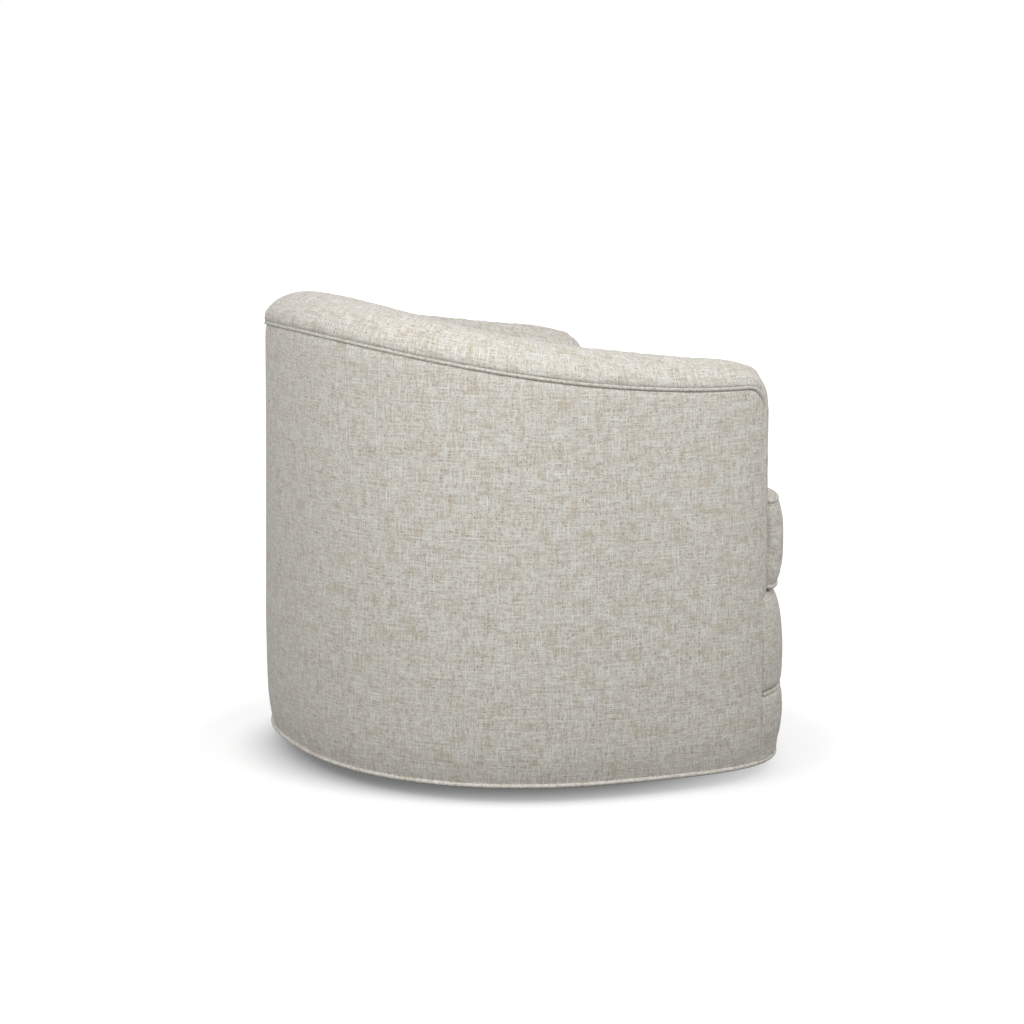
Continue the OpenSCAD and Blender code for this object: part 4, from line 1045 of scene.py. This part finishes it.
def cushion_half():
    """The right half of the cushion's plan, from the back to the front."""
    ahead = ear_ahead + ear_round + front_set
    tip_angle = -math.atan2(ahead, side_x(ahead))
    front, _ = plan_line(np.linspace(tip_angle, -quarter, 160), -front_set)
    phi = np.linspace(quarter, 0, 160)
    back = squared_r(phi, inner_half_width - seat_gap, inner_rear - seat_gap, rear_power)
    arm = np.linspace(0, arm_reach * 1.03, 60)[1:]
    ear = [(inner_x(arm_reach) - seat_gap, -ear_ahead),
           (front[0, 0] - ear_round / 2, -ear_ahead - ear_round * 0.06),
           (front[0, 0] - ear_round * 0.12, -ear_ahead - ear_round * 0.35)]
    return np.concatenate([polar(phi, back), np.stack([inner_x(arm) - seat_gap, -arm], 1), ear,
                           front])


cushion_line, cushion_way = both_sides(cushion_half(), outline_step)


def slab(name, line, low, high, voxel, material):
    """An upright block over an outline, in even quads."""
    heights = np.linspace(low, high, 8)
    rings = [[(x, y + widest_y, h) for x, y in line] for h in heights]
    return remeshed(bridged(rings, name, material), voxel)


def from_outline(co, line):
    """Distance of each point from an outline, and the place along it."""
    tree = kdtree.KDTree(len(line))
    for k, (x, y) in enumerate(line):
        tree.insert((x, y + widest_y, 0.0), k)
    tree.balance()
    found = [tree.find((x, y, 0.0)) for x, y in co[:, :2]]
    return np.array([f[2] for f in found]), np.array([f[1] for f in found])


def cushion_shape(name, line, way, inset, voxel, material):
    """The cushion's form drawn in by inset: boxing, crowned top and soft foot."""
    low, high = cushion_foot + inset, cushion_top - inset
    drawn = line - way * inset
    piece = slab(name, drawn, low, high, voxel, material)
    co, up = read(piece.data.vertices, "co"), read(piece.data.vertices, "normal")[:, 2]
    gap, place = from_outline(co, drawn)
    share = (co[:, 2] - low) / (high - low)
    level = np.clip(share, 0, 1)
    bed = np.maximum(welt_bed - gap, 0)
    rise = crown * (1 - (1 - np.clip(gap / crown_reach, 0, 1)) ** crown_power)
    sink = foot_sink * (1 - (1 - np.clip(gap / sink_reach, 0, 1)) ** 2)
    top_face = (share > 1 - face_share) & (up > face_up)
    foot_face = (share < face_share) & (up < -face_up)
    side_z = low + welt_bed + level * (high - low - 2 * welt_bed)
    co[:, 2] = np.where(top_face, high - bed + rise, np.where(foot_face, low + bed - sink, side_z))
    ahead = np.clip((-line[place, 1] - ear_ahead - swell_start) / front_fade, 0, 1)
    most_swell = side_swell + front_swell * ahead - side_swell * (line[place, 1] > zip_stretch)
    round_side = np.maximum(np.sin(math.pi * level), 0) ** 0.5
    swell = np.where(top_face | foot_face, 0, round_side * most_swell)
    co[:, :2] += way[place] * swell[:, None]
    move(piece.data, co)
    return piece, gap, place, top_face, foot_face, level


cushion, gap, place, on_top, at_foot, level = cushion_shape(
    "cushion_linen", cushion_line, cushion_way, 0.0, cushion_voxel, linen)
from_edge = np.minimum(level, 1 - level) * (cushion_top - cushion_foot)
edge_gap = np.where(on_top | at_foot, gap, from_edge)
ahead = np.clip((-cushion_line[place, 1] - ear_ahead) / front_fade, 0, 1)
seam_firm, seam_fade, foam_hold, least_hold = 0.004, 0.02, 0.9, 0.05
free = np.clip((edge_gap - seam_firm) / seam_fade, 0, 1)
# How far the cloth may go out: over the crown, under the foot, and at the boxing,
# with a little more at the ears and less at the zip
top_room, foot_room, boxing_room, ear_more, zip_less = 0.009, 0.0002, 0.0014, 0.0002, 0.0011
side_room = boxing_room + ear_more * ahead - zip_less * (cushion_line[place, 1] > zip_stretch)
room = np.where(on_top, top_room, np.where(at_foot, foot_room, side_room)) * free
settle(cushion, np.clip(1 - free * foam_hold, least_hold, 1), pressure=4.0, most=room[:, None],
       spare=0.02)

fine_lump, fine_times = 0.4, 2.3


def dimpled(piece, share, height, size, seed):
    """Gives filled cloth the slight hollows and lumps that sitting leaves."""
    points = read(piece.data.vertices, "co")
    lumps = []
    for x, y, z in points / size:
        broad = noise.noise(Vector((x, y, z + seed)))
        fine = noise.noise(Vector((x * fine_times, y * fine_times, z + seed)))
        lumps.append(broad + fine_lump * fine)
    points += read(piece.data.vertices, "normal") * (np.array(lumps) * share * height)[:, None]
    move(piece.data, points)


side_dimples = 0.3
dimpled(cushion, np.where(on_top, free, side_dimples * free * ~at_foot), height=0.0022, size=0.09,
        seed=3.0)
outline_run = np.arange(len(cushion_line)) * np.linalg.norm(cushion_line[1] - cushion_line[0])


def cushion_cut(co, normal, middle):
    """The top and foot lie straight, and the boxing runs round between them."""
    round_run = outline_run[from_outline(co, cushion_line)[1]]
    own = outline_run[from_outline(middle, cushion_line)[1]]
    whole = outline_run[-1] + outline_run[1]
    round_run = round_run - np.round((round_run - own) / whole) * whole
    flat = np.abs(normal[:, 2]) > 0.5
    return np.where(flat[:, None], co[:, :2], np.stack([round_run, co[:, 2]], 1))


lay_threads(cushion, cushion_cut)
softened(cushion)
fit(cushion, "cushion", "linen", "cushion_cover")

cushion_welt_in, top_welt_down = 0.0028, 0.0012
cushion_edge = cushion_line - cushion_way * cushion_welt_in
for name, z, stands_for in (
        ("cushion_top_cord", cushion_top - top_welt_down, "cushion_top_welt"),
        ("cushion_foot_cord", cushion_foot, "cushion_bottom_welt")):
    welt(name, at_height(cushion_edge, z), flat_way(cushion_way), stands_for, body="cushion",
         closed=True)

# Cushion filling
# A block of upholstery foam, cut to the shape of the cover and a little smaller
# than it, under a layer of wadding.

core = cushion_shape("cushion_foam", cushion_line, cushion_way, core_inset, core_voxel,
                     foam_cream)[0]
softened(core)
fit(core, "cushion", "foam", "cushion_core")

# Cushion zip
# A zip across the back of the boxing lets the cover come off its foam. Woven tape
# is sewn into the linen on both sides of a nylon coil, and carries a zinc slider.

# Half of the zip from its edge to its middle: height up the boxing, and how far out
zip_edge = [(-0.0070, 0.0002), (-0.0068, 0.0010), (-0.0034, 0.0010), (-0.0028, 0.0006),
            (-0.0022, 0.0014), (-0.0012, 0.0021)]
zip_rows = zip_edge + [(0.0, 0.0023)] + [(-z, out) for z, out in reversed(zip_edge)]
zip_half, coil_edge, teeth_turn, tape_relief = 0.0086, (0.0030, 0.0026), 4200.0, 0.0003
teeth_depth, thread_depth = 0.4, 0.2
zip_tape, tree, shader = new_finish("zip_tape", Roughness=0.6, Specular_IOR_Level=0.3)
cut = put(tree, "UVMap", uv_map="weave").outputs[0]
tape_cloth = woven(tree, cut, pitch=0.0006, slub=0.004)
place = put(tree, "SeparateXYZ", {0: cut}).outputs
from_middle = calc(tree, "ABSOLUTE", calc(tree, "SUBTRACT", place[1], zip_half))
coil = ramp(tree, from_middle, *coil_edge)
tooth = calc(tree, "SINE", calc(tree, "MULTIPLY", place[0], teeth_turn))
teeth = calc(tree, "MULTIPLY", coil, calc(tree, "ADD", tooth, 1.0))
shade = ramp(tree, calc(tree, "ADD", tape_cloth["Warp"], tape_cloth["Weft"]), 0.7, 1.3)
tape_tone = mixed(tree, shade, paint(158, 150, 136), paint(186, 179, 166))
teeth_share = calc(tree, "MULTIPLY", teeth, teeth_depth)
wire(tree, mixed(tree, teeth_share, tape_tone, paint(120, 113, 100)), shader["Base Color"])
relief = calc(tree, "ADD", calc(tree, "MULTIPLY", tape_cloth["Height"], thread_depth), teeth)
raised(tree, relief, shader["Normal"], tape_relief)

zip_middle = (cushion_foot + cushion_top) / 2
zip_phi = np.linspace(math.radians(62), math.radians(118), 160)
zip_clear, tape_thickness = 0.0005, 0.0006
zip_out = zip_clear + squared_r(zip_phi, inner_half_width - seat_gap, inner_rear - seat_gap,
                                rear_power)
zip_points = np.stack([at_height(polar(zip_phi, zip_out + out), zip_middle + z)
                       for z, out in zip_rows], 1)
tape = lined(cloth_piece("zip_tape", zip_points, zip_tape), tape_thickness)
fit(tape, "cushion", "zip_tape", "cushion_zip")


def block(mesh, size, place=(0.0, 0.0, 0.0), turn=0.0):
    """Adds a small block to a mesh, turned about the vertical and then placed."""
    made = bmesh.ops.create_cube(mesh, size=1.0)["verts"]
    bmesh.ops.scale(mesh, vec=size, verts=made)
    bmesh.ops.rotate(mesh, cent=(0, 0, 0), matrix=Matrix.Rotation(turn, 3, "Z"), verts=made)
    bmesh.ops.translate(mesh, vec=Vector(place), verts=made)
    return made


def rounded(mesh, edges, offset, segments):
    """Takes the sharpness off edges."""
    bmesh.ops.bevel(mesh, geom=edges, offset=offset, segments=segments, profile=0.5,
                    affect="EDGES", material=-1)


slider_phi, slider_out, slider_slant = math.radians(64.5), 0.0014, 0.30
slider = bmesh.new()
block(slider, (0.0085, 0.0022, 0.0080))
rounded(slider, slider.edges, 0.0007, 2)
pull = block(slider, (0.0042, 0.0007, 0.0170), place=(0.0, 0.0013, -0.0085))
rounded(slider, list({e for v in pull for e in v.link_edges}), 0.00025, 2)
slider_r = float(np.interp(slider_phi, zip_phi, zip_out)) + slider_out
bmesh.ops.rotate(slider, cent=(0, 0, 0), verts=slider.verts,
                 matrix=Matrix.Rotation(slider_phi - quarter + slider_slant, 3, "Z"))
slider_spot = (slider_r * math.cos(slider_phi), slider_r * math.sin(slider_phi) + widest_y)
bmesh.ops.translate(slider, verts=slider.verts, vec=(*slider_spot, zip_middle))
fit(piece_from("zip_slider", slider, zinc), "cushion", "zinc")

# Seat deck
# Under the cushion the seat is a thin pad, covered in a plain deck cloth that is
# sewn to the linen of the front rail and pulled down beside the arms.

deck_cloth = coarse_cloth("deck_cloth", paint(203, 199, 190), paint(170, 165, 154), pitch=0.0010,
                          relief=0.0003)
deck_ears, ears_short, deck_voxel = 0.028, 0.004, 0.005
seam_sink, seam_reach, dimple_fade = 0.0045, 0.016, 0.03


def seat_outline(out, front_in, soft, ears=0.0):
    """Outline between the arms and the front, let out by a distance. Its ears go
    in under the arm fronts."""
    front, _ = plan_line(np.linspace(-0.5, -quarter, 240), -front_in)
    wide = inner_x(arm_reach) + out + ears
    front = front[front[:, 0] < wide]
    phi = np.linspace(quarter, 0, 160)
    back = squared_r(phi, inner_half_width, inner_rear, rear_power) + out
    arm_end = arm_reach - ears_short if ears else -front[0, 1] - 0.002
    arm = np.linspace(0, arm_end, 60)[1:]
    half = [polar(phi, back), np.stack([inner_x(arm) + out, -arm], 1)]
    if ears:
        half.append([(wide, -arm_end)])
    return both_sides(np.concatenate([*half, front]), outline_step, soft)[0]


deck_line = seat_outline(-0.0003, front_in=0.0595, soft=0.0035, ears=deck_ears)
deck = slab("seat_deck_pad", deck_line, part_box("seat_deck")[0].z, deck_height - 0.0012, deck_voxel,
            deck_cloth)
co, up = read(deck.data.vertices, "co"), read(deck.data.vertices, "normal")[:, 2]
gap = from_outline(co, deck_line)[0]
deck_top = up > 0.5
co[:, 2] -= np.where(deck_top, seam_sink * np.clip(1 - gap / seam_reach, 0, 1) ** 2, 0)
move(deck.data, co)
dimpled(deck, deck_top * np.clip(gap / dimple_fade, 0, 1), height=0.0008, size=0.06, seed=5.0)
fit(softened(deck), "shell", "deck_cloth", "seat_deck")

# Cloth over the springs
# Burlap is stretched over the springs and stapled down at its edges, so that the
# pad above can't sink between the wires.

burlap = coarse_cloth("burlap", paint(194, 164, 118), paint(146, 116, 74), pitch=0.0020,
                      relief=0.0006)
sheet_cloth, burlap_out = 0.001, 0.0125


def flat_cloth(name, line, middle, z, material, rows):
    """A level sheet between an outline and a smaller one inside it."""
    share = np.linspace(0, 1, rows)[None, :, None]
    flat = line[:, None] * (1 - share) + middle[:, None] * share
    flat = np.concatenate([flat, flat[:1]])
    points = np.concatenate([flat + (0, widest_y), np.full(flat.shape[:2] + (1,), z)], 2)
    sheet = cloth_piece(name, points, material, closed=True)
    lay_threads(sheet, lambda co, normal, centre: co[:, :2])
    return lined(sheet, sheet_cloth)


spring_line = seat_outline(burlap_out, front_in=0.0126, soft=0.0035)
spring_cloth = flat_cloth("spring_burlap", spring_line, spring_line * 0,
                          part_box("spring_cloth")[0].z, burlap, rows=28)
fit(spring_cloth, "shell", "burlap", "spring_cloth")

# Dust cover
# Black cloth is stapled under the shell and closes it, with a round hole for the
# swivel. Its edge lies behind the turned-up linen.

black_cloth = coarse_cloth("black_cloth", paint(46, 46, 48), paint(26, 26, 28), pitch=0.0011,
                           relief=0.0002)
dust_in, staple_in, staple_step, hole_radius = 0.0255, 0.034, 0.055, 0.1141
staple_size, staple_proud, staple_slant = (0.0100, 0.0011, 0.0005), 0.0002, 0.12
dust_line = plan_line(np.linspace(math.pi, -math.pi, 480)[:-1], -dust_in)[0]
dust_way = dust_line + (0, widest_y)
dust_way /= np.linalg.norm(dust_way, axis=1, keepdims=True)
swivel_hole = dust_way * hole_radius - (0, widest_y)
dust_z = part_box("dust_cloth")[0].z
dust_cover = flat_cloth("dust_cover", dust_line, swivel_hole, dust_z, black_cloth, rows=20)
fit(dust_cover, "shell", "black_cloth", "dust_cloth")
staples = bmesh.new()
staple_line = plan_line(np.linspace(-math.pi, math.pi, 480), -staple_in)[0]
stapled = spaced(at_height(staple_line, dust_z - staple_proud), staple_step)[0]
for here, ahead in zip(stapled[:-1], stapled[1:]):
    turn = math.atan2(ahead[1] - here[1], ahead[0] - here[0])
    block(staples, staple_size, place=here, turn=turn + staple_slant)
rounded(staples, staples.edges, 0.00015, 1)
staple_wire = piece_from("dust_cover_staples", staples, zinc)
fit(staple_wire, "shell", "zinc")

# Floor, backdrop, light and camera
# A plain white studio floor under a soft sky, seen from the photograph's place. What
# the camera sees of it clears to white away from the chair, and keeps the shadow of the
# lamps; near the chair its glow is held low, a painted shadow round the chair's foot.

floor_size, white = 12.0, (1.0, 1.0, 1.0, 1.0)
lit_grey, seen_grey = (0.12, 0.12, 0.12, 1.0), (0.45, 0.45, 0.45, 1.0)


def seen_rays(tree):
    """One for what the camera sees, in mirrors too, and nought for the light."""
    rays = put(tree, "LightPath").outputs
    mirrored = calc(tree, "MAXIMUM", rays["Is Glossy Ray"], rays["Is Transmission Ray"])
    return calc(tree, "MAXIMUM", rays["Is Camera Ray"], mirrored)


floor_mesh = bmesh.new()
bmesh.ops.create_grid(floor_mesh, x_segments=1, y_segments=1, size=floor_size)
floor_paint, tree, shader = new_finish("floor_paint", Roughness=0.9, Specular_IOR_Level=0.0)
seen = seen_rays(tree)
wire(tree, mixed(tree, seen, lit_grey, seen_grey), shader["Base Color"])
away = put(tree, "VectorMath", {0: put(tree, "TexCoord").outputs["Object"]},
           operation="LENGTH").outputs[1]
# The camera-ray glow is weak under and beside the chair and grows with the distance from it: a
# painted shadow round the chair's foot, on top of the real shadow that the lamps cast.
clear = ramp(tree, away, 0.30, 0.445, first=0.16, last=0.62)
for near, far, more in ((0.46, 0.62, 0.14), (0.62, 1.8, 0.20)):
    clear = calc(tree, "ADD", clear, ramp(tree, away, near, far, last=more))
glow_with_painted_shade = put(tree, "Emission", {"Color": white, "Strength": calc(tree, "MULTIPLY", seen, clear)})
added = put(tree, "AddShader", {0: tree.nodes["Principled BSDF"].outputs[0], 1: glow_with_painted_shade.outputs[0]})
wire(tree, added.outputs[0], tree.nodes["Material Output"].inputs["Surface"])
floor = piece_from("studio_floor", floor_mesh, floor_paint)

scene = bpy.context.scene
scene.view_settings.view_transform = "Standard"
world = bpy.data.worlds.new("studio")
scene.world = world
world.use_nodes = True
tree = world.node_tree
sky = tree.nodes["Background"]
sky.inputs["Color"].default_value = white
sky_light = 0.55
wire(tree, ramp(tree, seen_rays(tree), 0.0, 1.0, first=sky_light), sky.inputs["Strength"])


def soft_box(name, place, aim, width, depth, power):
    """A studio light of this size and power in watts, aimed at a point."""
    light = bpy.data.lights.new(name, "AREA")
    light.shape, light.size, light.size_y, light.energy = "RECTANGLE", width, depth, power
    lamp = bpy.data.objects.new(name, light)
    lamp.location = place
    lamp.rotation_euler = (Vector(aim) - Vector(place)).to_track_quat("-Z", "Y").to_euler()
    scene.collection.objects.link(lamp)


soft_box("left_light", place=(-0.85, 1.50, 1.25), aim=(-0.05, 0.05, 0.42), width=2.0, depth=0.7,
         power=15.2)
soft_box("right_light", place=(-1.66, -0.46, 1.25), aim=(-0.05, -0.05, 0.42), width=2.0, depth=0.7,
         power=13.5)
soft_box("far_light", place=(1.0, -0.2, 2.5), aim=(0.3, -0.1, 0.6), width=1.2, depth=1.2, power=7.0)

camera = bpy.data.objects.new("camera", bpy.data.cameras.new("camera"))
camera.data.lens, camera.data.sensor_width = 100.7, 36.0
camera.location = (-4.0389, 1.6625, 0.9860)
view_target = Vector((0.00759, -0.01368, 0.35973))
camera.rotation_euler = (view_target - camera.location).to_track_quat("-Z", "Y").to_euler()
scene.collection.objects.link(camera)
scene.camera = camera

bpy.context.view_layer.update()
